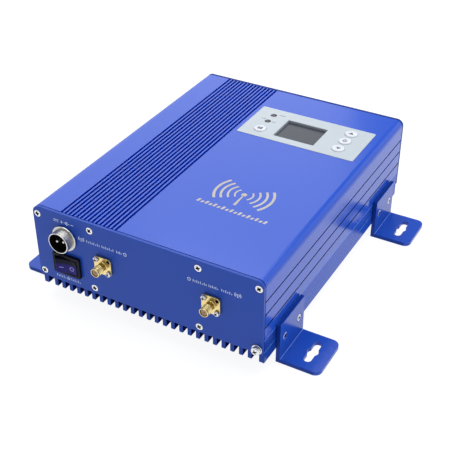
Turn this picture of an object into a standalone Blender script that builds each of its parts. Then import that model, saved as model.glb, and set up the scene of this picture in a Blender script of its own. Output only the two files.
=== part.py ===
"""Cellular signal booster: finned aluminium case, screwed end plates, bolt-on
feet, antenna and power connectors, rocker switch and membrane keypad.

Run with: blender --background --python part.py
Units are metres, +Z up.  The front plate faces -Y.  The origin is the bottom
centre of the whole object, so the undersides of the feet lie on Z = 0.
Dimensions below are in millimetres and are scaled by MM where they are used.
"""
import math

import bmesh
import bpy
from mathutils import Matrix, Vector

MM = 0.001

# ---------------------------------------------------------------- dimensions
HALF_W = 82.5            # half width of the case
FRONT_Y = -106.0         # outer face of the front plate
REAR_Y = 114.0           # outer face of the rear plate
PLATE_T = 2.0            # end plate thickness
GAP = 0.3                # clearance between touching pieces
ORIGIN_SHIFT = (0, 1.1, 0)   # brings the middle of the overall length to Y = 0
BODY_Y0 = FRONT_Y + PLATE_T + GAP
BODY_Y1 = REAR_Y - PLATE_T - GAP

FIN_Z = 10.0             # fin tips
FIN_ROOT_Z = 19.2        # underside of the heat sink's plate
SINK_TOP_Z = 25.5        # inner face of the heat sink's plate
SEAM_Z = 28.0            # joint between heat sink and cover
PLATE_Z0 = 18.3          # lower edge of the end plates
TOP_Z = 72.4             # top face of the case
CORNER_R = 5.0           # long top edges and end plate corners
INNER_FINS = 25
FIN_PITCH = 6.052
FIN_T = 2.5
SIDE_FIN_T = 3.6

GROOVES = 15             # decorative grooves along the top
GROOVE_X0 = -61.02
GROOVE_PITCH = 2.913
GROOVE_W = 1.4
GROOVE_D = 1.2
SIDE_GROOVES_Z = (37.5, 47.2, 56.9)

CHANNEL_R = 1.55         # screw channels in the extrusions
SCREW_X = 79.1
SCREW_MID_X = 38.9
SCREW_TOP_Z = 66.7
SCREW_LOW_Z = 22.2
EARTH_X, EARTH_Z = 78.8, 21.8

HEAD_R = 2.6             # countersunk head
SHANK_R = 1.2
SINK_R = 2.95            # countersink mouth

BRACKET_Y = (-72.5, 80.6)
BRACKET_LEN = 33.0
BRACKET_T = 3.0
BRACKET_X0 = HALF_W + GAP
BRACKET_X1 = 112.2
BRACKET_H = 30.0
BRACKET_SCREW_DY = 9.7
BRACKET_SCREW_Z = 17.0
SLOT_X = 100.4
SLOT_W = 5.0
SLOT_L = 20.0
SLOT_EYE_R = 3.7
FOOT_R = 5.0

SOCKET_X, SOCKET_Z = -58.5, 55.0
SWITCH_X, SWITCH_Z = -58.5, 34.4
ROCKER_PIVOT_Y = FRONT_Y + 1.4
ROCKER_TILT = math.radians(10.5)
ANTENNA_X = (-29.4, 48.3)
ANTENNA_Z = 44.35
ANTENNA_L = 10.2         # barrel end above the plate
ANTENNA_PITCH = 8.64

PAD_X0, PAD_X1 = -16.2, 73.0
PAD_Y0, PAD_Y1 = 40.75, 83.7
LCD_X0, LCD_X1 = 9.45, 40.67
LCD_Y0, LCD_Y1 = 47.45, 72.9
LEDS = ((-3.2, 74.0), (-3.2, 64.1))
BUTTONS = (("button_menu", -2.9, 51.6),
           ("button_up", 57.6, 75.3),
           ("button_enter", 57.6, 63.7),
           ("button_down", 57.6, 52.1))
CAP_R = 4.4

# ------------------------------------------------------------------- set-up
for old in list(bpy.data.objects):
    bpy.data.objects.remove(old, do_unlink=True)

scene = bpy.context.scene
parts = bpy.data.collections.new("cellular_signal_booster")
scene.collection.children.link(parts)

FRONT = (math.pi / 2, 0.0, 0.0)      # local +Z points to -Y
REAR = (-math.pi / 2, 0.0, 0.0)      # local +Z points to +Y
RIGHT = (0.0, math.pi / 2, 0.0)      # local +Z points to +X
LEFT = (0.0, -math.pi / 2, 0.0)      # local +Z points to -X


def material(name, rgb, rough, metal):
    mat = bpy.data.materials.new(name)
    mat.use_nodes = True
    bsdf = mat.node_tree.nodes["Principled BSDF"]
    bsdf.inputs["Base Color"].default_value = (rgb[0], rgb[1], rgb[2], 1.0)
    bsdf.inputs["Roughness"].default_value = rough
    bsdf.inputs["Metallic"].default_value = metal
    mat.diffuse_color = (rgb[0], rgb[1], rgb[2], 1.0)
    return mat


BLUE = ((0.05, 0.09, 0.52), 0.38, 0.4)
BLUE_DARK = ((0.035, 0.07, 0.36), 0.42, 0.4)
STEEL = ((0.72, 0.72, 0.70), 0.28, 1.0)
NICKEL = ((0.62, 0.61, 0.57), 0.25, 1.0)
GOLD = ((0.80, 0.58, 0.22), 0.25, 1.0)
BLACK = ((0.012, 0.012, 0.014), 0.35, 0.0)
PTFE = ((0.85, 0.82, 0.74), 0.5, 0.0)
SILVER_FILM = ((0.50, 0.51, 0.54), 0.45, 0.1)
WHITE = ((0.75, 0.76, 0.80), 0.45, 0.0)
SCREEN = ((0.02, 0.022, 0.025), 0.15, 0.0)
SMOKE = ((0.03, 0.01, 0.01), 0.2, 0.0)
BOARD = ((0.02, 0.16, 0.07), 0.5, 0.0)
TIN = ((0.55, 0.56, 0.57), 0.35, 1.0)


# ---------------------------------------------------------- building helpers
def arc(cx, cy, r, a0, a1, n):
    """Points on an arc from a0 to a1 degrees."""
    return [(cx + r * math.cos(math.radians(a0 + (a1 - a0) * i / n)),
             cy + r * math.sin(math.radians(a0 + (a1 - a0) * i / n)))
            for i in range(n + 1)]


def circle(cx, cy, r, n):
    return [(cx + r * math.cos(2 * math.pi * (i + 0.5) / n),
             cy + r * math.sin(2 * math.pi * (i + 0.5) / n)) for i in range(n)]


def rect(x0, y0, x1, y1):
    return [(x0, y0), (x1, y0), (x1, y1), (x0, y1)]


def round_rect(x0, y0, x1, y1, r, n=4):
    return (arc(x0 + r, y0 + r, r, 180, 270, n) + arc(x1 - r, y0 + r, r, 270, 360, n)
            + arc(x1 - r, y1 - r, r, 0, 90, n) + arc(x0 + r, y1 - r, r, 90, 180, n))


def tidy(me):
    """Weld, orient outwards and return the mesh."""
    bm = bmesh.new()
    bm.from_mesh(me)
    bmesh.ops.remove_doubles(bm, verts=bm.verts, dist=1e-7)
    bmesh.ops.recalc_face_normals(bm, faces=bm.faces)
    bm.to_mesh(me)
    bm.free()
    return me


def evaluated_mesh(ob):
    bpy.context.view_layer.update()
    deps = bpy.context.evaluated_depsgraph_get()
    return bpy.data.meshes.new_from_object(ob.evaluated_get(deps))


def outline_solid(loops, z0, z1):
    """Flat outline with holes, filled and extruded from z0 to z1 (mm).
    The curve is drawn at one unit to the millimetre and scaled afterwards."""
    cu = bpy.data.curves.new("outline", "CURVE")
    cu.dimensions = "2D"
    cu.fill_mode = "BOTH"
    cu.extrude = (z1 - z0) / 2
    for loop in loops:
        sp = cu.splines.new("POLY")
        sp.points.add(len(loop) - 1)
        for p, (x, y) in zip(sp.points, loop):
            p.co = (x, y, 0.0, 1.0)
        sp.use_cyclic_u = True
    ob = bpy.data.objects.new("outline", cu)
    scene.collection.objects.link(ob)
    me = evaluated_mesh(ob)
    bpy.data.objects.remove(ob, do_unlink=True)
    me.transform(Matrix.Scale(MM, 4) @ Matrix.Translation((0, 0, (z0 + z1) / 2)))
    return tidy(me)


def turned_solid(profile, steps, ring=False):
    """Profile of (radius, height) in mm turned about Z with a Screw modifier."""
    me = bpy.data.meshes.new("profile")
    n = len(profile)
    edges = [(i, i + 1) for i in range(n - 1)]
    if ring:
        edges.append((n - 1, 0))
    me.from_pydata([(r * MM, 0.0, h * MM) for r, h in profile], edges, [])
    ob = bpy.data.objects.new("profile", me)
    scene.collection.objects.link(ob)
    mod = ob.modifiers.new("turn", "SCREW")
    mod.axis = "Z"
    mod.angle = 2 * math.pi
    mod.steps = steps
    mod.render_steps = steps
    mod.use_merge_vertices = True
    mod.merge_threshold = 1e-6
    out = evaluated_mesh(ob)
    bpy.data.objects.remove(ob, do_unlink=True)
    return tidy(out)


def box_solid(x0, y0, z0, x1, y1, z1):
    bm = bmesh.new()
    bmesh.ops.create_cube(bm, size=1.0)
    bmesh.ops.scale(bm, vec=((x1 - x0) * MM, (y1 - y0) * MM, (z1 - z0) * MM), verts=bm.verts)
    bmesh.ops.translate(bm, vec=((x0 + x1) / 2 * MM, (y0 + y1) / 2 * MM, (z0 + z1) / 2 * MM),
                        verts=bm.verts)
    me = bpy.data.meshes.new("box")
    bm.to_mesh(me)
    bm.free()
    return me


def placed(me, loc=(0, 0, 0), rot=(0, 0, 0)):
    """Copy of a mesh moved by loc (mm) after an XYZ rotation."""
    out = me.copy()
    m = Matrix.Translation(Vector(loc) * MM)
    for angle, axis in zip(rot, "XYZ"):
        if angle:
            m = m @ Matrix.Rotation(angle, 4, axis)
    out.transform(m)
    return out


def joined(meshes):
    """Several separate closed meshes in one, for use as one cutter."""
    bm = bmesh.new()
    for me in meshes:
        bm.from_mesh(me)
    out = bpy.data.meshes.new("cutters")
    bm.to_mesh(out)
    bm.free()
    return out


def boolean(me, other, operation):
    a = bpy.data.objects.new("a", me)
    b = bpy.data.objects.new("b", other)
    b.display_type = "WIRE"
    b.hide_render = True
    scene.collection.objects.link(a)
    scene.collection.objects.link(b)
    mod = a.modifiers.new("cut", "BOOLEAN")
    mod.operation = operation
    mod.object = b
    mod.solver = "EXACT"
    out = evaluated_mesh(a)
    bpy.data.objects.remove(a, do_unlink=True)
    bpy.data.objects.remove(b, do_unlink=True)
    bm = bmesh.new()
    bm.from_mesh(out)
    bmesh.ops.remove_doubles(bm, verts=bm.verts, dist=1e-7)
    bmesh.ops.triangulate(bm, faces=bm.faces)
    bm.to_mesh(out)
    bm.free()
    return out


def cut(me, *cutters):
    return boolean(me, joined(cutters), "DIFFERENCE")


def joined_with(me, *others):
    for other in others:
        me = boolean(me, other, "UNION")
    return me


def piece(name, me, finish, loc=(0, 0, 0), rot=(0, 0, 0), smooth=False):
    ob = bpy.data.objects.new(name, me)
    parts.objects.link(ob)
    ob.location = (Vector(loc) + Vector(ORIGIN_SHIFT)) * MM
    ob.rotation_euler = rot
    if not me.materials:
        me.materials.append(material(name, *finish))
    if smooth:
        me.shade_smooth()
        me.set_sharp_from_angle(angle=math.radians(35))
    return ob


# ------------------------------------------------------------ case extrusions
def cover_outline():
    """Inverted U with grooves outside and screw bosses inside, X-Z plane."""
    z0 = SEAM_Z + 0.15
    side = [(-HALF_W, z0)]
    for z in SIDE_GROOVES_Z:
        side += [(-HALF_W, z - 0.45), (-HALF_W + 0.7, z), (-HALF_W, z + 0.45)]
    side += arc(-HALF_W + CORNER_R, TOP_Z - CORNER_R, CORNER_R, 180, 90, 7)
    top = []
    for i in range(GROOVES):
        x = GROOVE_X0 + i * GROOVE_PITCH
        top += [(x - GROOVE_W / 2, TOP_Z), (x - GROOVE_W / 2, TOP_Z - GROOVE_D),
                (x + GROOVE_W / 2, TOP_Z - GROOVE_D), (x + GROOVE_W / 2, TOP_Z)]
    outer = side + top + [(-x, z) for x, z in reversed(side)]
    wall, roof = HALF_W - 2.6, TOP_Z - 3.2
    half = [(wall, z0), (wall, 62.8), (75.2, 62.8), (75.2, roof),
            (SCREW_MID_X + 3.0, roof), (SCREW_MID_X + 3.0, 63.6),
            (SCREW_MID_X - 3.0, 63.6), (SCREW_MID_X - 3.0, roof)]
    inner = half + [(-x, z) for x, z in reversed(half)]
    holes = [circle(s * x, SCREW_TOP_Z, CHANNEL_R, 12) for s in (-1, 1) for x in (SCREW_X, SCREW_MID_X)]
    return [outer + inner] + holes


def sink_outline():
    """Finned plate before its gaps are cut, with side rails and a tongue that
    sits inside the cover, X-Z plane."""
    wall = HALF_W - 2.6
    half = [(HALF_W, FIN_Z), (HALF_W, SEAM_Z - 0.15), (wall - GAP, SEAM_Z - 0.15), (wall - GAP, 32.0),
            (wall - GAP - 2.8, 32.0), (wall - GAP - 2.8, SINK_TOP_Z)]
    return [half + [(-x, z) for x, z in reversed(half)]]


def cyl(r, z0, z1, n=16):
    return turned_solid([(0, z1), (r, z1), (r, z0), (0, z0)], n)


def along_y(me):
    """Turn an outline drawn in X-Z so that its extrusion runs along Y."""
    out = me.copy()
    out.transform(Matrix.Rotation(math.pi / 2, 4, "X"))
    return out


cover = along_y(outline_solid(cover_outline(), -BODY_Y1, -BODY_Y0))
pocket = box_solid(-18.0, 38.5, 55.0, 74.8, 86.0, 70.4)
film_pocket = outline_solid([round_rect(PAD_X0 - GAP, PAD_Y0 - GAP, PAD_X1 + GAP, PAD_Y1 + GAP, 1.5)],
                            TOP_Z - 0.5, TOP_Z + 2)
cover = cut(cover, pocket)
cover = cut(cover, film_pocket)
openings = [box_solid(LCD_X0 - 0.3, LCD_Y0 - 0.3, 66, LCD_X1 + 0.3, LCD_Y1 + 0.3, 76)]
openings += [placed(cyl(2.5, 66, 76, 12), (x, y, 0)) for x, y in LEDS]
openings += [placed(cyl(5.35, 66, 76, 20), (x, y, 0)) for _, x, y in BUTTONS]
cover = cut(cover, *openings)
posts = [placed(cyl(2.2, 62.7, 71.0, 10), (x, y, 0)) for x in (-12.0, 70.0) for y in (44.2, 80.6)]
cover = joined_with(cover, *posts)
piece("top_cover", cover, BLUE)

sink = along_y(outline_solid(sink_outline(), -BODY_Y1, -BODY_Y0))
edges_x = [-HALF_W + SIDE_FIN_T]
for k in range(INNER_FINS):
    x = (k - (INNER_FINS - 1) / 2) * FIN_PITCH
    edges_x += [x - FIN_T / 2, x + FIN_T / 2]
edges_x.append(HALF_W - SIDE_FIN_T)
sink = cut(sink, *[box_solid(edges_x[i], BODY_Y0 - 5, FIN_Z - 5, edges_x[i + 1], BODY_Y1 + 5, FIN_ROOT_Z)
                   for i in range(0, len(edges_x), 2)])
channels = [placed(cyl(CHANNEL_R, -120, 120, 10), (x, 4, z), FRONT)
            for x, z in ((-SCREW_X, SCREW_LOW_Z), (-SCREW_MID_X, SCREW_LOW_Z),
                         (SCREW_MID_X, SCREW_LOW_Z), (EARTH_X, EARTH_Z))]
sink = cut(sink, *channels)
drill = [placed(cyl(CHANNEL_R, -6, 6, 12), (s * 80.5, yc + s2 * BRACKET_SCREW_DY, BRACKET_SCREW_Z), RIGHT)
         for s in (-1, 1) for yc in BRACKET_Y for s2 in (-1, 1)]
sink = cut(sink, *drill)
bosses = [placed(cyl(3.0, SINK_TOP_Z - 1.0, 28.2, 12), (x, y, 0)) for x in (-68.0, 68.0) for y in (-78.0, 97.0)]
sink = joined_with(sink, *bosses)
piece("heatsink_base", sink, BLUE)


# -------------------------------------------------------------- end plates
def plate_outline():
    return (arc(-HALF_W + CORNER_R, TOP_Z - CORNER_R, CORNER_R, 180, 90, 7)
            + arc(HALF_W - CORNER_R, TOP_Z - CORNER_R, CORNER_R, 90, 0, 7)
            + [(HALF_W, PLATE_Z0), (-HALF_W, PLATE_Z0)])


def countersink():
    """Cone and clearance hole, mouth at Z = 0, drilled towards -Z."""
    return turned_solid([(0, 1.0), (SINK_R + 1.0, 1.0), (1.55, 1.0 - (SINK_R - 0.55)),
                         (1.55, -6.0), (0, -6.0)], 12)


sink_cutter = countersink()
front_screws = ((-SCREW_X, SCREW_TOP_Z), (-SCREW_MID_X, SCREW_TOP_Z), (SCREW_MID_X, SCREW_TOP_Z),
                (SCREW_X, SCREW_TOP_Z), (-SCREW_X, SCREW_LOW_Z), (-SCREW_MID_X, SCREW_LOW_Z),
                (SCREW_MID_X, SCREW_LOW_Z))
rear_screws = ((-SCREW_X, SCREW_TOP_Z), (-SCREW_MID_X, SCREW_TOP_Z), (SCREW_MID_X, SCREW_TOP_Z),
               (SCREW_X, SCREW_TOP_Z), (-SCREW_X, SCREW_LOW_Z), (EARTH_X, EARTH_Z))

front = along_y(outline_solid([plate_outline()], -FRONT_Y - PLATE_T, -FRONT_Y))
holes = [placed(cyl(7.35, -5, 5, 24), (SOCKET_X, FRONT_Y, SOCKET_Z), FRONT),
         placed(box_solid(-9.6, -6.5, -5, 9.6, 6.5, 5), (SWITCH_X, FRONT_Y, SWITCH_Z), FRONT),
         placed(cyl(1.6, -5, 5, 10), (EARTH_X, FRONT_Y, EARTH_Z), FRONT)]
for ax in ANTENNA_X:
    holes.append(placed(cyl(2.6, -5, 5, 14), (ax, FRONT_Y, ANTENNA_Z), FRONT))
    for sx in (-1, 1):
        for sz in (-1, 1):
            holes.append(placed(cyl(1.3, -5, 5, 8), (ax + sx * ANTENNA_PITCH / 2, FRONT_Y,
                                                     ANTENNA_Z + sz * ANTENNA_PITCH / 2), FRONT))
holes += [placed(sink_cutter, (x, FRONT_Y, z), FRONT) for x, z in front_screws]
front = cut(front, *holes)
piece("front_panel", front, BLUE_DARK)

rear = along_y(outline_solid([plate_outline()], -REAR_Y, -REAR_Y + PLATE_T))
rear = cut(rear, *[placed(sink_cutter, (x, REAR_Y, z), REAR) for x, z in rear_screws])
piece("rear_panel", rear, BLUE_DARK)


# ------------------------------------------------------------------ screws
def cross_cutter(arm, width, depth, top):
    a, w = arm / 2, width / 2
    t = w * 0.75
    loop = [(-a, -t), (-w, -w), (-t, -a), (t, -a), (w, -w), (a, -t),
            (a, t), (w, w), (t, a), (-t, a), (-w, w), (-a, t)]
    return outline_solid([loop], top - depth, top + 1.0)


flat_screw = turned_solid([(0, 0), (HEAD_R, 0), (HEAD_R, -0.15), (SHANK_R, -0.15 - (HEAD_R - SHANK_R)),
                           (SHANK_R, -8.0), (0, -8.0)], 12)
flat_screw = cut(flat_screw, cross_cutter(3.0, 0.75, 1.1, 0.0))
pan_screw = turned_solid([(0, 1.7), (2.2, 1.7), (2.9, 1.1), (2.9, 0), (SHANK_R, 0),
                          (SHANK_R, -10.0), (0, -10.0)], 12)
pan_screw = cut(pan_screw, cross_cutter(3.2, 0.8, 1.0, 1.7))
small_screw = turned_solid([(0, 1.5), (1.45, 1.5), (1.8, 1.1), (1.8, 0), (1.0, 0),
                            (1.0, -6.5), (0, -6.5)], 10)
small_screw = cut(small_screw, cross_cutter(2.1, 0.55, 0.9, 1.5))

for i, (x, z) in enumerate(front_screws):
    piece("front_screw_%d" % (i + 1), flat_screw, STEEL, (x, FRONT_Y, z), FRONT, True)
for i, (x, z) in enumerate(rear_screws):
    piece("rear_screw_%d" % (i + 1), flat_screw, STEEL, (x, REAR_Y, z), REAR, True)

piece("earth_flat_washer", turned_solid([(1.6, 0.4), (3.4, 0.4), (3.4, 0), (1.6, 0)], 20, True),
      STEEL, (EARTH_X, FRONT_Y - 0.3, EARTH_Z), FRONT, True)
spring = cut(turned_solid([(1.6, 0.5), (2.75, 0.5), (2.75, 0), (1.6, 0)], 20, True),
             box_solid(1.0, -0.3, -1, 4.0, 0.3, 2))
piece("earth_spring_washer", spring, STEEL, (EARTH_X, FRONT_Y - 1.0, EARTH_Z), FRONT, True)
piece("earth_screw", pan_screw, STEEL, (EARTH_X, FRONT_Y - 1.8, EARTH_Z), FRONT, True)


# --------------------------------------------------------- mounting brackets
def bracket(name, side, yc):
    """Extruded angle: flange on the case's side, slotted foot outwards."""
    x0, x1, t = BRACKET_X0, BRACKET_X1, BRACKET_T
    h = BRACKET_LEN / 2
    ell = [(side * x, z) for x, z in ((x0, 0), (x1, 0), (x1, t), (x0 + t, t), (x0 + t, BRACKET_H), (x0, BRACKET_H))]
    me = along_y(outline_solid([ell], -h, h))
    dy = math.sqrt(SLOT_EYE_R ** 2 - (SLOT_W / 2) ** 2)
    eye = math.degrees(math.atan2(dy, SLOT_W / 2))
    r = SLOT_W / 2
    end = SLOT_L / 2 - r
    slot = (arc(0, end, r, 0, 180, 6) + arc(0, 0, SLOT_EYE_R, 180 - eye, 180 + eye, 6)
            + arc(0, -end, r, 180, 360, 6) + arc(0, 0, SLOT_EYE_R, -eye, eye, 6))
    cutters = [outline_solid([[(side * (SLOT_X + x), y) for x, y in slot]], -2, t + 2)]
    for s in (-1, 1):
        bite = [(x1 + 2, s * (h - FOOT_R))] + [(x, s * y) for x, y in arc(x1 - FOOT_R, h - FOOT_R, FOOT_R, 0, 90, 6)] \
            + [(x1 - FOOT_R, s * (h + 2)), (x1 + 2, s * (h + 2))]
        cutters.append(outline_solid([[(side * x, y) for x, y in bite]], -2, t + 2))
        cutters.append(placed(sink_cutter, (side * (x0 + t), s * BRACKET_SCREW_DY, BRACKET_SCREW_Z),
                              RIGHT if side > 0 else LEFT))
    return piece(name, cut(me, *cutters), BLUE, (0, yc, 0))


for end_name, yc in zip(("front", "rear"), BRACKET_Y):
    for side_name, side in (("right", 1), ("left", -1)):
        bracket("%s_%s_bracket" % (end_name, side_name), side, yc)
        for i, s in enumerate((-1, 1)):
            piece("%s_%s_bracket_screw_%d" % (end_name, side_name, i + 1), flat_screw, STEEL,
                  (side * (BRACKET_X0 + BRACKET_T), yc + s * BRACKET_SCREW_DY, BRACKET_SCREW_Z),
                  RIGHT if side > 0 else LEFT, True)

# ----------------------------------------------------- two-pin power socket
shell = turned_solid([(6.3, 7.5), (7.4, 7.5), (7.4, 1.8), (9.0, 1.8), (9.0, 0.3),
                      (7.0, 0.3), (7.0, -11.5), (6.3, -11.5)], 28, True)
piece("power_socket_shell", shell, NICKEL, (SOCKET_X, FRONT_Y, SOCKET_Z), FRONT, True)
insert = turned_solid([(0, 1.5), (5.95, 1.5), (5.95, -10.0), (0, -10.0)], 20)
insert = cut(insert, *[placed(cyl(1.35, -14, 6, 12), (s * 2.65, 0, 0)) for s in (-1, 1)])
piece("power_socket_insert", insert, BLACK, (SOCKET_X, FRONT_Y, SOCKET_Z), FRONT, True)
pin = turned_solid([(0, 5.2), (0.6, 5.2), (1.05, 4.7), (1.05, -14.0), (0, -14.0)], 12)
for s, side_name in ((-1, "left"), (1, "right")):
    piece("power_socket_pin_%s" % side_name, pin, NICKEL, (SOCKET_X + s * 2.65, FRONT_Y, SOCKET_Z), FRONT, True)
hexagon = [(10.8 * math.cos(math.radians(60 * i)), 10.8 * math.sin(math.radians(60 * i))) for i in range(6)]
nut = outline_solid([hexagon, circle(0, 0, 7.35, 24)], -PLATE_T - GAP - 2.6, -PLATE_T - GAP)
piece("power_socket_nut", nut, NICKEL, (SOCKET_X, FRONT_Y, SOCKET_Z), FRONT)

# ------------------------------------------------------------- rocker switch
px, pz = SWITCH_X, SWITCH_Z
bezel = outline_solid([round_rect(-10.5, -7.75, 10.5, 7.75, 0.9, 3)], 0.3, 2.2)
body = box_solid(-9.3, -6.2, -16.0, 9.3, 6.2, 1.2)
housing = joined_with(bezel, body)
well = box_solid(-8.5, -5.6, -6.6, 8.5, 5.6, 4.0)
axle_hole = placed(cyl(1.15, -9.0, 9.0, 12), (0, 0, -1.4), (math.pi / 2, 0, 0))
housing = cut(housing, well)
housing = cut(housing, axle_hole)
piece("switch_housing", housing, BLACK, (px, FRONT_Y, pz), FRONT)

# The rocker's outline lies in X-Y with its pivot at the origin; -Y is outwards.
rocker_loop = [(-7.3, -1.2), (-7.3, -5.0), (-7.0, -5.3), (-3.6, -4.7), (0.0, -4.45), (3.6, -4.7), (7.0, -5.3),
               (7.3, -5.0), (7.3, -1.2), (2.4, 4.0), (-2.4, 4.0)]
rocker = outline_solid([rocker_loop], -5.25, 5.25)
rocker = joined_with(rocker, cyl(0.8, -5.95, 5.95, 12))
piece("switch_rocker", rocker, BLACK, (px, ROCKER_PIVOT_Y, pz), (0, 0, ROCKER_TILT))

# ---------------------------------------------------------- antenna sockets
for ax, name in zip(ANTENNA_X, ("outdoor", "indoor")):
    half = 6.35
    flange = cut(outline_solid([round_rect(-half, -half, half, half, 2.3, 2)], 0.3, 1.9),
                 *[placed(cyl(1.3, -2, 4, 8), (sx * ANTENNA_PITCH / 2, sz * ANTENNA_PITCH / 2, 0))
                   for sx in (-1, 1) for sz in (-1, 1)])
    barrel = turned_solid([(0, ANTENNA_L), (2.95, ANTENNA_L), (3.175, ANTENNA_L - 0.25), (3.175, 0.9), (2.1, 0.9),
                           (2.1, -8.0), (0, -8.0)], 16)
    connector = joined_with(flange, barrel)
    connector = cut(connector, turned_solid([(0, ANTENNA_L + 1), (2.3, ANTENNA_L + 1), (2.3, 1.0), (1.0, 1.0),
                                            (1.0, -9.0), (0, -9.0)], 12))
    piece("%s_antenna_socket" % name, connector, GOLD, (ax, FRONT_Y, ANTENNA_Z), FRONT, True)
    liner = turned_solid([(0.65, 8.2), (1.95, 8.2), (1.95, 1.35), (0.65, 1.35)], 12, True)
    piece("%s_antenna_insulator" % name, liner, PTFE, (ax, FRONT_Y, ANTENNA_Z), FRONT, True)
    for i, s in enumerate((-1, 1)):
        piece("%s_antenna_screw_%d" % (name, i + 1), small_screw, STEEL,
              (ax + s * ANTENNA_PITCH / 2, FRONT_Y - 2.2, ANTENNA_Z - s * ANTENNA_PITCH / 2), FRONT, True)

# --------------------------------------------------- keypad and display unit
loops = [round_rect(PAD_X0, PAD_Y0, PAD_X1, PAD_Y1, 1.2), rect(LCD_X0, LCD_Y0, LCD_X1, LCD_Y1)]
loops += [circle(x, y, 2.3, 12) for x, y in LEDS]
loops += [circle(x, y, CAP_R + 0.35, 16) for _, x, y in BUTTONS]
piece("keypad_overlay", outline_solid(loops, TOP_Z - 0.2, TOP_Z + 0.5), SILVER_FILM)

cap = turned_solid([(0, 73.5), (3.4, 73.5), (4.1, 73.3), (CAP_R, 72.8), (CAP_R, 71.6), (5.0, 71.6),
                    (5.0, 70.7), (1.5, 70.7), (1.5, 67.9), (0, 67.9)], 14)
for name, x, y in BUTTONS:
    piece(name, cap, WHITE, (x, y, 0), (0, 0, 0), True)

lens = turned_solid([(0, 72.75), (1.5, 72.75), (2.0, 72.45), (2.0, 62.9), (0, 62.9)], 12)
for i, (x, y) in enumerate(LEDS):
    piece("indicator_lens_%d" % (i + 1), lens, SMOKE, (x, y, 0), (0, 0, 0), True)

lcd = joined_with(box_solid(7.4, 45.6, 62.9, 43.2, 75.6, 67.0),
                  box_solid(LCD_X0 + 0.3, LCD_Y0 + 0.3, 66.0, LCD_X1 - 0.3, LCD_Y1 - 0.3, 72.5))
piece("display_module", lcd, SCREEN)

display_board = box_solid(-14.5, 42.0, 61.0, 72.5, 82.6, 62.4)
for _, x, y in BUTTONS:
    display_board = joined_with(display_board, box_solid(x - 3, y - 3, 62.0, x + 3, y + 3, 65.8))
    display_board = joined_with(display_board, placed(cyl(1.75, 65.0, 67.2, 10), (x, y, 0)))
piece("display_board", display_board, BOARD)

# -------------------------------------------------------------- electronics
main_board = box_solid(-73.5, -84.0, 28.5, 73.5, 104.0, 30.1)
piece("main_board", main_board, BOARD)
can = cut(box_solid(-60, -50, 30.4, 60, 90, 39.0), box_solid(-59, -49, 28.0, 59, 89, 38.0))
piece("shield_can", can, TIN)
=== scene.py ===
"""Cellular signal booster: the visual model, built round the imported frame.

Lengths are in millimetres where they are written and scaled to metres when a
mesh is made.  +Z is up and the front plate faces -Y, as in the frame.
"""
import math

import bmesh
import bpy
from mathutils import Matrix, Vector


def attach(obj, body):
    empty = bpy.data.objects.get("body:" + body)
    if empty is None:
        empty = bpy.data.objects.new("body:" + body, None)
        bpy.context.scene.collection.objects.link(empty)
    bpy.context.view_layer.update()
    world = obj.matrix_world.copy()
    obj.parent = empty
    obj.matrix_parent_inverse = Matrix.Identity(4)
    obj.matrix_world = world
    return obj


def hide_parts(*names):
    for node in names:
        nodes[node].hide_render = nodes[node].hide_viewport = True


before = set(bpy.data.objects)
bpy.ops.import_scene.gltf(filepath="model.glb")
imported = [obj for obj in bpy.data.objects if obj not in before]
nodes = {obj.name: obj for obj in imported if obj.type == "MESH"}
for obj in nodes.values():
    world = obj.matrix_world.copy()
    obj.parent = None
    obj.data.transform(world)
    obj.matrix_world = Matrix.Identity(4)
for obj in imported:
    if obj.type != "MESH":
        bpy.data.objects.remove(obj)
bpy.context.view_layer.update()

scene = bpy.context.scene
MM = 0.001

# ---------------------------------------------------------------- dimensions
HALF_W = 82.5
FRONT_Y, REAR_Y, PLATE_T, GAP = -106.0, 114.0, 2.0, 0.3
BODY_Y0, BODY_Y1 = FRONT_Y + PLATE_T + GAP, REAR_Y - PLATE_T - GAP
FIN_Z, FIN_ROOT_Z, SINK_TOP_Z, SEAM_Z = 10.0, 19.2, 25.5, 28.0
PLATE_Z0, TOP_Z, CORNER_R = 18.3, 72.4, 5.0
SHIFT = Matrix.Translation((0.0, 0.0011, 0.0))    # the frame's origin is at the middle of the overall length
INNER_FINS, FIN_PITCH, FIN_T, SIDE_FIN_T = 25, 6.052, 2.75, 3.6
GROOVES, GROOVE_X0, GROOVE_PITCH, GROOVE_W, GROOVE_D = 15, -61.02, 2.913, 1.54, 1.5
SIDE_GROOVES_Z = (37.5, 47.2, 56.9)
SIDE_LINE_Z = 18.6
SCREW_X, SCREW_MID_X, SCREW_TOP_Z, SCREW_LOW_Z = 79.1, 38.9, 66.7, 22.2
EARTH_X, EARTH_Z = 78.8, 21.8
SINK_R = 2.95
BRACKET_Y, BRACKET_LEN, BRACKET_T = (-72.5, 80.6), 33.0, 3.0
BRACKET_X0, BRACKET_X1, BRACKET_H = HALF_W + GAP, 112.2, 30.0
BRACKET_SCREW_DY, BRACKET_SCREW_Z = 9.7, 17.0
SLOT_X, SLOT_W, SLOT_L, SLOT_EYE_R, FOOT_R = 100.4, 5.0, 20.0, 3.7, 5.0
SOCKET_X, SOCKET_Z = -58.5, 55.0
SWITCH_X, SWITCH_Z = -58.5, 34.4
ROCKER_PIVOT_Y, ROCKER_TILT = FRONT_Y + 1.4, math.radians(10.5)
ANTENNA_X, ANTENNA_Z, ANTENNA_PITCH = (-29.4, 48.3), 44.35, 8.64
PAD_X0, PAD_X1, PAD_Y0, PAD_Y1 = -16.2, 73.0, 40.75, 83.7
LCD_X0, LCD_X1, LCD_Y0, LCD_Y1 = 9.45, 40.67, 47.45, 72.9
LEDS = ((-3.2, 74.0), (-3.2, 64.1))
BUTTONS = (("button_menu", "menu_button", -2.9, 51.6), ("button_up", "up_button", 57.6, 75.3),
           ("button_enter", "enter_button", 57.6, 63.7), ("button_down", "down_button", 57.6, 52.1))

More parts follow.
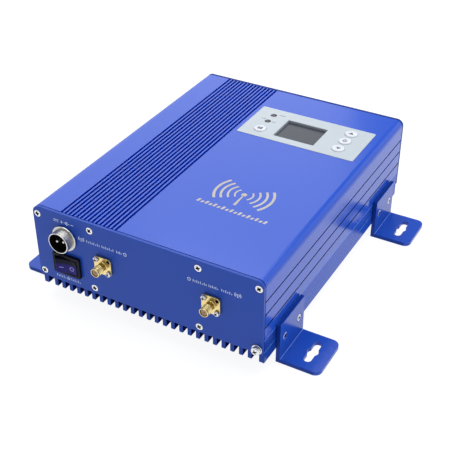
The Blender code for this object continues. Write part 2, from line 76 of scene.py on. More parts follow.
FRONT = Matrix.Rotation(math.pi / 2, 4, "X")      # local +Z points to -Y
REAR = Matrix.Rotation(-math.pi / 2, 4, "X")      # local +Z points to +Y
RIGHT = Matrix.Rotation(math.pi / 2, 4, "Y")      # local +Z points to +X
LEFT = Matrix.Rotation(-math.pi / 2, 4, "Y")      # local +Z points to -X


# -------------------------------------------------------------------- camera
def make_camera():
    az, el, roll = math.radians(29.5412), math.radians(34.5098), math.radians(-0.21514)
    back = Vector((math.sin(az) * math.cos(el), -math.cos(az) * math.cos(el), math.sin(el)))
    right0 = Vector((math.cos(az), math.sin(az), 0.0))
    up0 = back.cross(right0)
    right = math.cos(roll) * right0 + math.sin(roll) * up0
    up = -math.sin(roll) * right0 + math.cos(roll) * up0
    cam = bpy.data.cameras.new("camera")
    cam.sensor_width = 36.0
    cam.lens = 75.169
    cam.clip_start, cam.clip_end = 0.01, 50.0
    ob = bpy.data.objects.new("camera", cam)
    scene.collection.objects.link(ob)
    m = Matrix((right, up, back)).transposed().to_4x4()
    m.translation = Vector((0.26743, -0.47682 + 0.0011, 0.39660))
    ob.matrix_world = m
    scene.camera = ob


# ----------------------------------------------------------------- materials
class Nodes:
    """Small helper for building a node material."""

    def __init__(self, name, color, rough, metal=0.0):
        self.mat = bpy.data.materials.new(name)
        self.mat.use_nodes = True
        self.t = self.mat.node_tree
        self.b = self.t.nodes["Principled BSDF"]
        self.b.inputs["Base Color"].default_value = (*color, 1.0)
        self.b.inputs["Roughness"].default_value = rough
        self.b.inputs["Metallic"].default_value = metal
        self.mat.diffuse_color = (*color, 1.0)
        self.coord = self.t.nodes.new("ShaderNodeTexCoord").outputs["Object"]
        self.height = None

    def noise(self, scale, detail=3.0, stretch=None, rough=0.55):
        src = self.coord
        if stretch:
            m = self.t.nodes.new("ShaderNodeMapping")
            m.inputs["Scale"].default_value = stretch
            self.t.links.new(src, m.inputs["Vector"])
            src = m.outputs["Vector"]
        n = self.t.nodes.new("ShaderNodeTexNoise")
        n.inputs["Scale"].default_value = scale
        n.inputs["Detail"].default_value = detail
        n.inputs["Roughness"].default_value = rough
        self.t.links.new(src, n.inputs["Vector"])
        return n.outputs["Fac"]

    def span(self, value, lo, hi, a=0.3, b=0.7):
        r = self.t.nodes.new("ShaderNodeMapRange")
        r.inputs["From Min"].default_value = a
        r.inputs["From Max"].default_value = b
        r.inputs["To Min"].default_value = lo
        r.inputs["To Max"].default_value = hi
        self.t.links.new(value, r.inputs["Value"])
        return r.outputs["Result"]

    def math(self, op, a, b):
        n = self.t.nodes.new("ShaderNodeMath")
        n.operation = op
        for sock, v in zip(n.inputs, (a, b)):
            if isinstance(v, (int, float)):
                sock.default_value = v
            else:
                self.t.links.new(v, sock)
        return n.outputs["Value"]

    def mix(self, fac, c0, c1):
        n = self.t.nodes.new("ShaderNodeMix")
        n.data_type = "RGBA"
        self.t.links.new(fac, n.inputs[0])
        for sock, c in ((n.inputs[6], c0), (n.inputs[7], c1)):
            if isinstance(c, tuple):
                sock.default_value = (*c, 1.0)
            else:
                self.t.links.new(c, sock)
        return n.outputs[2]

    def color(self, out):
        self.t.links.new(out, self.b.inputs["Base Color"])

    def rough(self, out):
        self.t.links.new(out, self.b.inputs["Roughness"])

    def bump(self, out, strength, distance):
        n = self.t.nodes.new("ShaderNodeBump")
        n.inputs["Strength"].default_value = strength
        n.inputs["Distance"].default_value = distance
        self.t.links.new(out, n.inputs["Height"])
        if self.height is not None:
            self.t.links.new(self.height, n.inputs["Normal"])
        self.height = n.outputs["Normal"]
        self.t.links.new(self.height, self.b.inputs["Normal"])


def shade(c, k):
    return tuple(min(1.0, v * k) for v in c)


def anodised(name, color, rough, stretch, grain=0.10, spec=0.5, ior=1.5, front_shade=1.0):
    """Blue anodised aluminium: even colour with a fine blasted grain, very faint
    extrusion lines along one direction, and optional painted shade towards the front."""
    m = Nodes(name, color, rough)
    cloud = m.noise(7.0, 2.0)
    fine = m.noise(2600.0, 2.0)
    lines = m.noise(1500.0, 2.0, stretch)
    base = m.mix(m.span(cloud, 0.0, 1.0), shade(color, 0.97), shade(color, 1.03))
    base = m.mix(m.span(lines, 0.0, 0.5), base, shade(color, 0.93))
    # Painted shade: below 1 the colour darkens towards the front end (object Y below -70 mm), a painted shadow of the
    # front mounting foot.
    if front_shade < 1.0:
        sep = m.t.nodes.new("ShaderNodeSeparateXYZ")
        m.t.links.new(m.coord, sep.inputs[0])
        base = m.mix(m.span(sep.outputs["Y"], 0.0, 1.0, -0.092, -0.070), shade(color, front_shade), base)
    m.color(base)
    r = m.math("ADD", m.span(lines, rough - 0.015, rough + 0.015), m.span(fine, -0.02, 0.02))
    m.rough(r)
    m.bump(fine, grain, 0.00003)
    m.b.inputs["IOR"].default_value = ior
    m.b.inputs["Specular IOR Level"].default_value = spec
    return m.mat


def metal(name, color, rough, scale=700.0, stretch=(1, 1, 1), dirt=0.85, bump=0.06):
    m = Nodes(name, color, rough, 1.0)
    a = m.noise(scale, 3.0, stretch)
    b = m.noise(90.0, 2.0)
    m.color(m.mix(m.span(b, 0.0, 1.0), shade(color, dirt), color))
    m.rough(m.math("ADD", m.span(a, rough - 0.04, rough + 0.05), m.span(b, -0.02, 0.03)))
    m.bump(a, bump, 0.00003)
    return m.mat


def plastic(name, color, rough, scale=1500.0, bump=0.12, vary=0.08, coat=0.0, spec=0.5):
    m = Nodes(name, color, rough)
    a = m.noise(scale, 2.0)
    b = m.noise(60.0, 2.0)
    m.color(m.mix(m.span(b, 0.0, 1.0), shade(color, 1.0 - vary), shade(color, 1.0 + vary)))
    m.rough(m.math("ADD", m.span(a, rough - 0.05, rough + 0.05), m.span(b, -0.02, 0.02)))
    m.bump(a, bump, 0.00004)
    m.b.inputs["Specular IOR Level"].default_value = spec
    if coat:
        m.b.inputs["Coat Weight"].default_value = coat
        m.b.inputs["Coat Roughness"].default_value = 0.1
    return m.mat


MAT = {
    "cover": anodised("cover_blue", (0.0090, 0.070, 0.500), 0.17, (1.0, 0.02, 1.0), spec=0.40),
    # Painted shade: a darker, deeper blue for the inside of the top grooves.
    "groove_shade": anodised("groove_shade_blue", (0.0008, 0.028, 0.400), 0.35, (1.0, 0.02, 1.0), spec=0.05),
    # The base takes painted shade near its front end, standing in for the front foot's shadow.
    "sink": anodised("sink_blue", (0.0070, 0.062, 0.440), 0.27, (1.0, 0.02, 1.0), spec=0.15, front_shade=0.72),
    # Painted shade: near-black navy for the channels between the fins and the side grooves of the cover.
    "channel_shade": anodised("channel_shade_blue", (0.0012, 0.008, 0.085), 0.45, (1.0, 0.02, 1.0), spec=0.0, ior=1.05),
    "plate": anodised("plate_blue", (0.0105, 0.060, 0.395), 0.32, (0.03, 1.0, 1.0), spec=0.22),
    # Painted shade: darker blue on the rim faces of the rear plate.
    "edge": anodised("plate_edge_shade_blue", (0.003, 0.026, 0.200), 0.40, (0.03, 1.0, 1.0), spec=0.12),
    "bracket": anodised("bracket_blue", (0.0060, 0.064, 0.450), 0.20, (1.0, 0.03, 1.0), spec=0.30),
    # Painted shade: darker blue on the top face and the two end faces of each bracket.
    "bracket_shade": anodised("bracket_shaded_blue", (0.002, 0.034, 0.270), 0.35, (1.0, 0.03, 1.0), spec=0.12),
    # Painted highlight: light blue on the bracket's inner bend fillet and the inner lip of its top edge.
    "bend_highlight": anodised("bracket_highlight_blue", (0.080, 0.200, 0.760), 0.30, (1.0, 0.03, 1.0)),
    # Painted highlight: light blue on the upward chamfers at the seam and the side line of the base.
    "seam_highlight": anodised("seam_highlight_blue", (0.060, 0.160, 0.700), 0.30, (1.0, 0.03, 1.0)),
    "steel": metal("screw_zinc", (0.84, 0.85, 0.86), 0.22, 900.0),
    # Painted shade: near-black for the inside of the screw recesses.
    "recess": plastic("screw_recess_shade", (0.005, 0.006, 0.006), 0.60, 900.0, spec=0.10),
    "nickel": metal("socket_nickel", (0.58, 0.57, 0.53), 0.30, 500.0, (1, 0.2, 1), bump=0.02),
    "rim": metal("socket_rim", (0.86, 0.86, 0.84), 0.18, 500.0, bump=0.03),
    "pin": metal("pin_nickel", (0.88, 0.87, 0.83), 0.30, 500.0),
    "gold": metal("connector_gold", (0.88, 0.71, 0.33), 0.24, 600.0, (1, 1, 1), 0.9),
    # Painted shade: dark gold for the undercut behind the barrel's thread and the contact inside the barrel.
    "gold_dark": metal("gold_painted_shade", (0.42, 0.30, 0.07), 0.34, 600.0),
    "black": plastic("insert_black", (0.004, 0.004, 0.004), 0.55, spec=0.08),
    "bezel": plastic("switch_black", (0.0040, 0.0042, 0.011), 0.42, spec=0.12),
    "mark": plastic("rocker_mark", (0.36, 0.35, 0.80), 0.5, vary=0.04, spec=0.2),
    "print": plastic("white_print", (0.60, 0.69, 0.92), 0.5, vary=0.03, spec=0.2),
    "icon": plastic("grey_print", (0.10, 0.105, 0.12), 0.5, vary=0.04, spec=0.2),
    # Painted shade and reflection: the white PTFE liner is coloured warm brown for the shade inside the barrel and the
    # gold it mirrors.
    "ptfe": plastic("insulator_painted_shade", (0.40, 0.29, 0.19), 0.45, spec=0.2),
    "film": plastic("overlay_film", (0.426, 0.480, 0.525), 0.34, 1800.0, 0.08, 0.02, spec=0.4),
    "button": plastic("button_white", (0.60, 0.63, 0.70), 0.34, 1200.0, 0.05, 0.02, spec=0.4),
    "lcd": plastic("display_grey", (0.047, 0.055, 0.070), 0.20, 3000.0, 0.02, 0.03, spec=0.22),
    "lcd_frame": plastic("display_frame", (0.355, 0.385, 0.430), 0.45, spec=0.2),
    "lens": plastic("lens_smoke", (0.045, 0.045, 0.055), 0.22, spec=0.3),
    "board": plastic("board_green", (0.020, 0.160, 0.070), 0.45),
    "tin": metal("tinned_sheet", (0.60, 0.61, 0.62), 0.35, 300.0),
}


def ornament_material():
    """Satin foil, champagne towards one end and silver towards the other."""
    m = Nodes("ornament_foil", (0.50, 0.47, 0.41), 0.42, 0.15)
    sep = m.t.nodes.new("ShaderNodeSeparateXYZ")
    m.t.links.new(m.coord, sep.inputs[0])
    ramp = m.span(sep.outputs["X"], 0.0, 1.0, 0.0, 0.056)
    a = m.noise(900.0, 3.0, (1.0, 0.1, 1.0))
    tone = m.mix(ramp, (0.44, 0.405, 0.335), (0.44, 0.43, 0.405))
    m.color(m.mix(m.span(a, 0.0, 0.6), tone, (0.35, 0.33, 0.30)))
    m.rough(m.span(a, 0.34, 0.48))
    m.bump(a, 0.08, 0.00003)
    m.b.inputs["Specular IOR Level"].default_value = 0.3
    return m.mat


def rocker_material():
    """Indigo plastic with painted shade: nearly black towards its upper edge, for the bezel's shadow."""
    m = Nodes("rocker_indigo_top_shade", (0.013, 0.010, 0.130), 0.34)
    sep = m.t.nodes.new("ShaderNodeSeparateXYZ")
    m.t.links.new(m.coord, sep.inputs[0])
    # Painted shade: the colour darkens to near black from object Z 0.6 mm up to 2.6 mm, standing in for the bezel's
    # shadow.
    fade = m.span(sep.outputs["Z"], 0.0, 1.0, 0.0006, 0.0026)
    a = m.noise(1500.0, 2.0)
    m.color(m.mix(fade, (0.0160, 0.0125, 0.150), (0.0045, 0.0045, 0.016)))
    m.rough(m.span(a, 0.29, 0.39))
    m.bump(a, 0.12, 0.00004)
    m.b.inputs["Specular IOR Level"].default_value = 0.10
    return m.mat


MAT["foil"] = ornament_material()
MAT["rocker"] = rocker_material()


# ------------------------------------------------------------ mesh utilities
def arc(cx, cy, r, a0, a1, n):
    return [(cx + r * math.cos(math.radians(a0 + (a1 - a0) * i / n)),
             cy + r * math.sin(math.radians(a0 + (a1 - a0) * i / n))) for i in range(n + 1)]


def circle(cx, cy, r, n):
    return [(cx + r * math.cos(2 * math.pi * i / n), cy + r * math.sin(2 * math.pi * i / n)) for i in range(n)]


def rect(x0, y0, x1, y1):
    return [(x0, y0), (x1, y0), (x1, y1), (x0, y1)]


def round_rect(x0, y0, x1, y1, r, n=6):
    return (arc(x0 + r, y0 + r, r, 180, 270, n) + arc(x1 - r, y0 + r, r, 270, 360, n)
            + arc(x1 - r, y1 - r, r, 0, 90, n) + arc(x0 + r, y1 - r, r, 90, 180, n))


def fillet(points, r, n=3):
    """Round every corner of a closed loop by r, or by as much as its sides allow."""
    out = []
    k = len(points)
    for i in range(k):
        p0, p1, p2 = (Vector(points[(i + j - 1) % k]) for j in range(3))
        a, b = p0 - p1, p2 - p1
        if a.length < 1e-9 or b.length < 1e-9:
            continue
        ang = a.angle(b)
        if ang > math.radians(172):
            out.append(tuple(p1))
            continue
        d = min(r / math.tan(ang / 2), a.length * 0.45, b.length * 0.45)
        rr = d * math.tan(ang / 2)
        s, e = p1 + a.normalized() * d, p1 + b.normalized() * d
        c = p1 + (a.normalized() + b.normalized()).normalized() * (rr / math.sin(ang / 2))
        v0, v1 = s - c, e - c
        t0 = math.atan2(v0.y, v0.x)
        t1 = math.atan2(v1.y, v1.x)
        while t1 - t0 > math.pi:
            t1 -= 2 * math.pi
        while t1 - t0 < -math.pi:
            t1 += 2 * math.pi
        for q in range(n + 1):
            t = t0 + (t1 - t0) * q / n
            out.append((c.x + rr * math.cos(t), c.y + rr * math.sin(t)))
    return out


def from_bm(bm, name="mesh"):
    me = bpy.data.meshes.new(name)
    bmesh.ops.recalc_face_normals(bm, faces=bm.faces)
    bm.to_mesh(me)
    bm.free()
    return me


def prism(loop, z0, z1):
    """Closed loop extruded from z0 to z1 as one n-gon at each end (mm)."""
    bm = bmesh.new()
    lo = [bm.verts.new((x, y, z0)) for x, y in loop]
    hi = [bm.verts.new((x, y, z1)) for x, y in loop]
    bm.faces.new(lo[::-1])
    bm.faces.new(hi)
    n = len(loop)
    for i in range(n):
        bm.faces.new((lo[i], lo[(i + 1) % n], hi[(i + 1) % n], hi[i]))
    return from_bm(bm)


def evaluated(ob):
    bpy.context.view_layer.update()
    return bpy.data.meshes.new_from_object(ob.evaluated_get(bpy.context.evaluated_depsgraph_get()))


def plate(loops, z0, z1, bevel=0.0, res=2):
    """Flat plate with holes; the edges of the outline and holes are rounded by bevel (mm)."""
    cu = bpy.data.curves.new("plate", "CURVE")
    cu.dimensions = "2D"
    cu.fill_mode = "BOTH"
    cu.extrude = (z1 - z0) / 2 - bevel
    cu.bevel_depth = bevel
    cu.bevel_resolution = res
    cu.offset = -bevel
    for loop in loops:
        sp = cu.splines.new("POLY")
        sp.points.add(len(loop) - 1)
        for p, (x, y) in zip(sp.points, loop):
            p.co = (x, y, 0.0, 1.0)
        sp.use_cyclic_u = True
    ob = bpy.data.objects.new("plate", cu)
    scene.collection.objects.link(ob)
    me = evaluated(ob)
    bpy.data.objects.remove(ob, do_unlink=True)
    me.transform(Matrix.Translation((0, 0, (z0 + z1) / 2)))
    bm = bmesh.new()
    bm.from_mesh(me)
    bmesh.ops.remove_doubles(bm, verts=bm.verts, dist=1e-4)
    out = from_bm(bm)
    return out


def lathe(profile, n=48, closed=False):
    """(radius, height) profile turned about Z; radius 0 ends close to a point (mm)."""
    bm = bmesh.new()
    rings = []
    for r, z in profile:
        if r < 1e-6:
            rings.append([bm.verts.new((0, 0, z))])
        else:
            rings.append([bm.verts.new((r * math.cos(2 * math.pi * i / n), r * math.sin(2 * math.pi * i / n), z))
                          for i in range(n)])
    pairs = list(zip(rings, rings[1:])) + ([(rings[-1], rings[0])] if closed else [])
    for a, b in pairs:
        for i in range(n):
            j = (i + 1) % n
            if len(a) == 1 and len(b) == 1:
                continue
            if len(a) == 1:
                bm.faces.new((a[0], b[j], b[i]))
            elif len(b) == 1:
                bm.faces.new((a[i], a[j], b[0]))
            else:
                bm.faces.new((a[i], a[j], b[j], b[i]))
    return from_bm(bm)


def threaded(r_out, depth, pitch, z0, z1, r_in, lead=0.6, n=64, per=8, head=(), tail=()):
    """Tube or rod whose outside carries a real helical thread from z0 to z1.
    head and tail are extra (radius, height) points beyond z1 and before z0; the
    profile closes through r_in, or at the axis when r_in is 0."""
    rows = max(8, int(round((z1 - z0) / pitch * per)))
    bm = bmesh.new()
    grid = []
    for k in range(rows + 1):
        z = z0 + (z1 - z0) * k / rows
        fade = min(1.0, (z - z0) / lead, (z1 - z) / lead)
        ring = []
        for i in range(n):
            ph = (z / pitch - i / n) % 1.0
            tri = abs(2 * ph - 1.0)
            tri = min(1.0, max(0.0, (tri - 0.12) / 0.76))
            r = r_out - depth * (1 - tri) * max(0.0, fade) - depth * 0.15 * (1 - max(0.0, fade))
            a = 2 * math.pi * i / n
            ring.append(bm.verts.new((r * math.cos(a), r * math.sin(a), z)))
        grid.append(ring)

    def ring_at(r, z):
        if r < 1e-6:
            return [bm.verts.new((0, 0, z))]
        return [bm.verts.new((r * math.cos(2 * math.pi * i / n), r * math.sin(2 * math.pi * i / n), z))
                for i in range(n)]

    rings = [ring_at(r, z) for r, z in tail] + grid + [ring_at(r, z) for r, z in head]
    closed = r_in > 0
    pairs = list(zip(rings, rings[1:]))
    if closed:
        pairs.append((rings[-1], rings[0]))
    for a, b in pairs:
        for i in range(n):
            j = (i + 1) % n
            if len(a) == 1:
                bm.faces.new((a[0], b[j], b[i]))
            elif len(b) == 1:
                bm.faces.new((a[i], a[j], b[0]))
            else:
                bm.faces.new((a[i], a[j], b[j], b[i]))
    return from_bm(bm)


def painted(me, test, index=1):
    """Gives the faces that pass the test another material; the rest get the first."""
    me.polygons.foreach_set("material_index", [index if test(p.center, p.normal) else 0 for p in me.polygons])
    return me


def box(x0, y0, z0, x1, y1, z1):
    return prism(rect(x0, y0, x1, y1), z0, z1)


def moved(me, m):
    out = me.copy()
    out.transform(m)
    return out


def at(x, y, z):
    return Matrix.Translation((x, y, z))


def merged(meshes):
    bm = bmesh.new()
    for me in meshes:
        bm.from_mesh(me)
    me = bpy.data.meshes.new("merged")
    bm.to_mesh(me)
    bm.free()
    return me


def boolean(me, other, op="DIFFERENCE"):
    a = bpy.data.objects.new("a", me)
    b = bpy.data.objects.new("b", other)
    scene.collection.objects.link(a)
    scene.collection.objects.link(b)
    mod = a.modifiers.new("cut", "BOOLEAN")
    mod.operation = op
    mod.object = b
    mod.solver = "EXACT"
    out = evaluated(a)
    bpy.data.objects.remove(a, do_unlink=True)
    bpy.data.objects.remove(b, do_unlink=True)
    return out


def bevelled(me, width, segments=2, angle=30.0):
    ob = bpy.data.objects.new("bevel", me)
    scene.collection.objects.link(ob)
    mod = ob.modifiers.new("bevel", "BEVEL")
    mod.width = width
    mod.segments = segments
    mod.limit_method = "ANGLE"
    mod.angle_limit = math.radians(angle)
    mod.use_clamp_overlap = True
    mod.miter_outer = "MITER_ARC"
    out = evaluated(ob)
    bpy.data.objects.remove(ob, do_unlink=True)
    return out


def piece(name, me, mats, body="case", slot=None, replaces=(), loc=None, rot=None, angle=32.0, weighted=True):
    """Finished piece from a mesh in mm.  With loc and rot the mesh is placed by its object."""
    if me.users and me.name in bpy.data.meshes and me.get("done"):
        mesh = me
    else:
        mesh = me
        mesh.transform(Matrix.Scale(MM, 4))
        mesh.shade_smooth()
        mesh.set_sharp_from_angle(angle=math.radians(angle))
        mesh["done"] = True
        mats = mats if isinstance(mats, (list, tuple)) else [mats]
        index = [min(p.material_index, len(mats) - 1) for p in mesh.polygons]
        mesh.materials.clear()
        for m in mats:
            mesh.materials.append(MAT[m])
        mesh.polygons.foreach_set("material_index", index)
    ob = bpy.data.objects.new(name, mesh)
    scene.collection.objects.link(ob)
    ob.matrix_world = SHIFT @ Matrix.Translation(Vector(loc or (0, 0, 0)) * MM) @ (rot or Matrix.Identity(4))
    if weighted:
        mod = ob.modifiers.new("normals", "WEIGHTED_NORMAL")
        mod.keep_sharp = True
        mod.weight = 90
    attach(ob, body)
    if replaces:
        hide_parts(*replaces)
    return ob


def along_y(me):
    """Outline drawn in X-Z, extruded along Z, turned so that it runs along Y from -z."""
    return moved(me, FRONT)


# ------------------------------------------------------------ case extrusions
def cover_loop():
    z0 = SEAM_Z + 0.15
    side = [(-HALF_W, z0)]
    for z in SIDE_GROOVES_Z:
        side += [(-HALF_W, z - 0.55), (-HALF_W + 0.12, z - 0.40), (-HALF_W + 0.70, z - 0.12),
                 (-HALF_W + 0.70, z + 0.12), (-HALF_W + 0.12, z + 0.40), (-HALF_W, z + 0.55)]
    side += arc(-HALF_W + CORNER_R, TOP_Z - CORNER_R, CORNER_R, 180, 90, 18)
    top = []
    w, d = GROOVE_W / 2, GROOVE_D
    for i in range(GROOVES):
        x = GROOVE_X0 + i * GROOVE_PITCH
        top += [(x - w - 0.16, TOP_Z), (x - w - 0.05, TOP_Z - 0.05), (x - w, TOP_Z - 0.18),
                (x - w + 0.04, TOP_Z - d + 0.1), (x - w + 0.14, TOP_Z - d),
                (x + w - 0.14, TOP_Z - d), (x + w - 0.04, TOP_Z - d + 0.1),
                (x + w, TOP_Z - 0.18), (x + w + 0.05, TOP_Z - 0.05), (x + w + 0.16, TOP_Z)]
    outer = side + top + [(-x, z) for x, z in reversed(side)]
    wall, roof = HALF_W - 2.6, TOP_Z - 3.2
    half = [(wall, z0), (wall, roof - 3.0), (wall - 3.0, roof)]
    inner = half + [(-x, z) for x, z in reversed(half)]
    return outer + inner


def sink_loop():
    edges = [-HALF_W, -HALF_W + SIDE_FIN_T]
    for k in range(INNER_FINS):
        x = (k - (INNER_FINS - 1) / 2) * FIN_PITCH
        edges += [x - FIN_T / 2, x + FIN_T / 2]
    edges += [HALF_W - SIDE_FIN_T, HALF_W]
    loop = []
    for i in range(0, len(edges), 2):
        a, b = edges[i], edges[i + 1]
        r = 0.35
        loop += [(a, FIN_ROOT_Z)] if i else []
        loop += arc(a + r, FIN_Z + r, r, 180, 270, 3) + arc(b - r, FIN_Z + r, r, 270, 360, 3)
        if i + 2 < len(edges):
            loop += [(b, FIN_ROOT_Z)]
    wall = HALF_W - 2.6
    loop += [(HALF_W, SIDE_LINE_Z - 0.30), (HALF_W - 0.40, SIDE_LINE_Z + 0.15), (HALF_W, SIDE_LINE_Z + 0.25),
             (HALF_W, SEAM_Z - 0.65), (HALF_W - 0.5, SEAM_Z - 0.15), (wall - GAP, SEAM_Z - 0.15),
             (wall - GAP, 32.0), (wall - GAP - 2.8, 32.0), (wall - GAP - 2.8, SINK_TOP_Z)]
    loop += [(-x, z) for x, z in reversed(loop[-9:])]
    return loop


def make_case():
    cover = along_y(prism(cover_loop(), -BODY_Y1 + 0.15, -BODY_Y0 - 0.15))
    pocket = prism(round_rect(PAD_X0 - 0.05, PAD_Y0 - 0.05, PAD_X1 + 0.05, PAD_Y1 + 0.05, 1.25), TOP_Z - 0.5, TOP_Z + 2)
    cover = boolean(cover, pocket)
    holes = [box(LCD_X0 - 0.3, LCD_Y0 - 0.3, 66, LCD_X1 + 0.3, LCD_Y1 + 0.3, 76)]
    holes += [moved(prism(circle(0, 0, 2.5, 24), 66, 76), at(x, y, 0)) for x, y in LEDS]
    holes += [moved(prism(circle(0, 0, 5.35, 32), 66, 76), at(x, y, 0)) for _, _, x, y in BUTTONS]
    cover = boolean(cover, merged(holes))
    # Painted shade: groove walls and floors on the top take the darker groove colour, the side grooves the near-black
    # channel colour.
    x0, x1 = GROOVE_X0 - 1.2, GROOVE_X0 + (GROOVES - 1) * GROOVE_PITCH + 1.2
    side_lines = [p.index for p in cover.polygons
                  if HALF_W - 0.75 < abs(p.center.x) < HALF_W - 0.02 and min(abs(p.center.z - z) for z in SIDE_GROOVES_Z) < 0.5
                  and abs(p.normal.y) < 0.5]
    cover = painted(cover, lambda c, n: x0 < c.x < x1 and TOP_Z - GROOVE_D - 0.1 < c.z < TOP_Z - 0.15 and abs(n.y) < 0.5)
    for i in side_lines:
        cover.polygons[i].material_index = 2
    piece("cover_shell", cover, ["cover", "groove_shade", "channel_shade"], slot="case_blue", replaces=["top_cover"])
    sink = along_y(prism(sink_loop(), -BODY_Y1 + 0.15, -BODY_Y0 - 0.15))
    # Painted shade: the walls and roots of the channels between the fins take the near-black colour.
    sink = painted(sink, lambda c, n: abs(n.y) < 0.5 and abs(c.x) < HALF_W - 0.4 and c.z < SINK_TOP_Z - 1
                   and (abs(n.x) > 0.9 or c.z > FIN_Z + 2))
    # Painted highlight: the upward chamfers at the seam and the side line take the light seam colour.
    for p in sink.polygons:
        if abs(p.center.x) > HALF_W - 0.4 and p.normal.z > 0.4 and abs(p.normal.x) > 0.4:
            p.material_index = 2
    piece("finned_base", sink, ["sink", "channel_shade", "seam_highlight"], slot="case_blue", replaces=["heatsink_base"])


# ---------------------------------------------------------------- end plates
def plate_loop():
    return (arc(-HALF_W + CORNER_R, TOP_Z - CORNER_R, CORNER_R, 180, 90, 14)
            + arc(HALF_W - CORNER_R, TOP_Z - CORNER_R, CORNER_R, 90, 0, 14)
            + arc(HALF_W - 0.8, PLATE_Z0 + 0.8, 0.8, 0, -90, 3)
            + arc(-HALF_W + 0.8, PLATE_Z0 + 0.8, 0.8, 270, 180, 3))


def countersink():
    return lathe([(0, 1.0), (SINK_R + 0.85, 1.0), (1.55, 0.85 - (SINK_R - 0.70)), (1.55, -6.0), (0, -6.0)], 32)


FRONT_SCREWS = ((-SCREW_X, SCREW_TOP_Z), (-SCREW_MID_X, SCREW_TOP_Z), (SCREW_MID_X, SCREW_TOP_Z),
                (SCREW_X, SCREW_TOP_Z), (-SCREW_X, SCREW_LOW_Z), (-SCREW_MID_X, SCREW_LOW_Z),
                (SCREW_MID_X, SCREW_LOW_Z))
REAR_SCREWS = ((-SCREW_X, SCREW_TOP_Z), (-SCREW_MID_X, SCREW_TOP_Z), (SCREW_MID_X, SCREW_TOP_Z),
               (SCREW_X, SCREW_TOP_Z), (-SCREW_X, SCREW_LOW_Z), (EARTH_X, EARTH_Z))


def make_plates():
    cs = countersink()
    front = along_y(plate([plate_loop()], -FRONT_Y - PLATE_T, -FRONT_Y, 0.22, 2))
    cutters = [moved(cs, at(x, FRONT_Y, z) @ FRONT) for x, z in FRONT_SCREWS]
    cutters += [moved(prism(circle(0, 0, 7.35, 40), -5, 5), at(SOCKET_X, FRONT_Y, SOCKET_Z) @ FRONT),
                moved(box(-9.6, -6.5, -5, 9.6, 6.5, 5), at(SWITCH_X, FRONT_Y, SWITCH_Z) @ FRONT),
                moved(prism(circle(0, 0, 1.6, 20), -5, 5), at(EARTH_X, FRONT_Y, EARTH_Z) @ FRONT)]
    for ax in ANTENNA_X:
        cutters.append(moved(prism(circle(0, 0, 2.6, 24), -5, 5), at(ax, FRONT_Y, ANTENNA_Z) @ FRONT))
        for sx in (-1, 1):
            for sz in (-1, 1):
                cutters.append(moved(prism(circle(0, 0, 1.3, 16), -5, 5),
                                     at(ax + sx * ANTENNA_PITCH / 2, FRONT_Y, ANTENNA_Z + sz * ANTENNA_PITCH / 2) @ FRONT))
    front = boolean(front, merged(cutters))
    piece("front_plate", front, "plate", slot="plate_blue", replaces=["front_panel"])
    rear = along_y(plate([plate_loop()], -REAR_Y, -REAR_Y + PLATE_T, 0.22, 2))
    rear = boolean(rear, merged([moved(cs, at(x, REAR_Y, z) @ REAR) for x, z in REAR_SCREWS]))
    # Painted shade: the rim faces of the rear plate, near its sides, top and bottom, take the darker edge colour.
    rear = painted(rear, lambda c, n: abs(n.y) < 0.5 and (abs(c.x) > HALF_W - 3 or c.z > TOP_Z - 3 or c.z < PLATE_Z0 + 1))
    piece("rear_plate", rear, ["plate", "edge"], slot="plate_blue", replaces=["rear_panel"])


# -------------------------------------------------------------------- screws
def cross_recess(arm, width, depth, top):
    """Tapered four-armed recess cutter with a pointed centre, mouth at top."""
    bm = bmesh.new()
    a, w = arm / 2, width / 2
    mouth = [(-a, -w), (-w, -w), (-w, -a), (w, -a), (w, -w), (a, -w), (a, w), (w, w), (w, a), (-w, a), (-w, w), (-a, w)]
    k = 0.42
    floor = []
    for x, y in mouth:
        r = math.hypot(x, y)
        floor.append((x * k, y * k) if r > a * 0.8 else (x * 0.75, y * 0.75))
    levels = [(mouth, top + 0.6), (mouth, top), (floor, top - depth)]
    rings = [[bm.verts.new((x, y, z)) for x, y in pts] for pts, z in levels]
    n = len(mouth)
    for r0, r1 in zip(rings, rings[1:]):
        for i in range(n):
            bm.faces.new((r0[i], r0[(i + 1) % n], r1[(i + 1) % n], r1[i]))
    bm.faces.new(rings[0])
    tip = bm.verts.new((0, 0, top - depth * 1.25))
    for i in range(n):
        bm.faces.new((rings[2][i], rings[2][(i + 1) % n], tip))
    return from_bm(bm)


def with_recess(head, arm, width, depth, top, bore):
    """Cuts a cross recess with a round centre and gives its faces the second material, a near-black painted shade."""
    cross = cross_recess(arm, width, depth, top)
    centre = lathe([(0, top + 0.6), (bore, top + 0.6), (bore, top), (bore * 0.8, top - depth * 0.9), (0, top - depth * 1.3)], 24)
    for me in (head, cross, centre):
        me.materials.append(MAT["steel"])
        me.materials.append(MAT["recess"])
    for me in (cross, centre):
        me.polygons.foreach_set("material_index", [1] * len(me.polygons))
    return boolean(boolean(head, cross), centre)


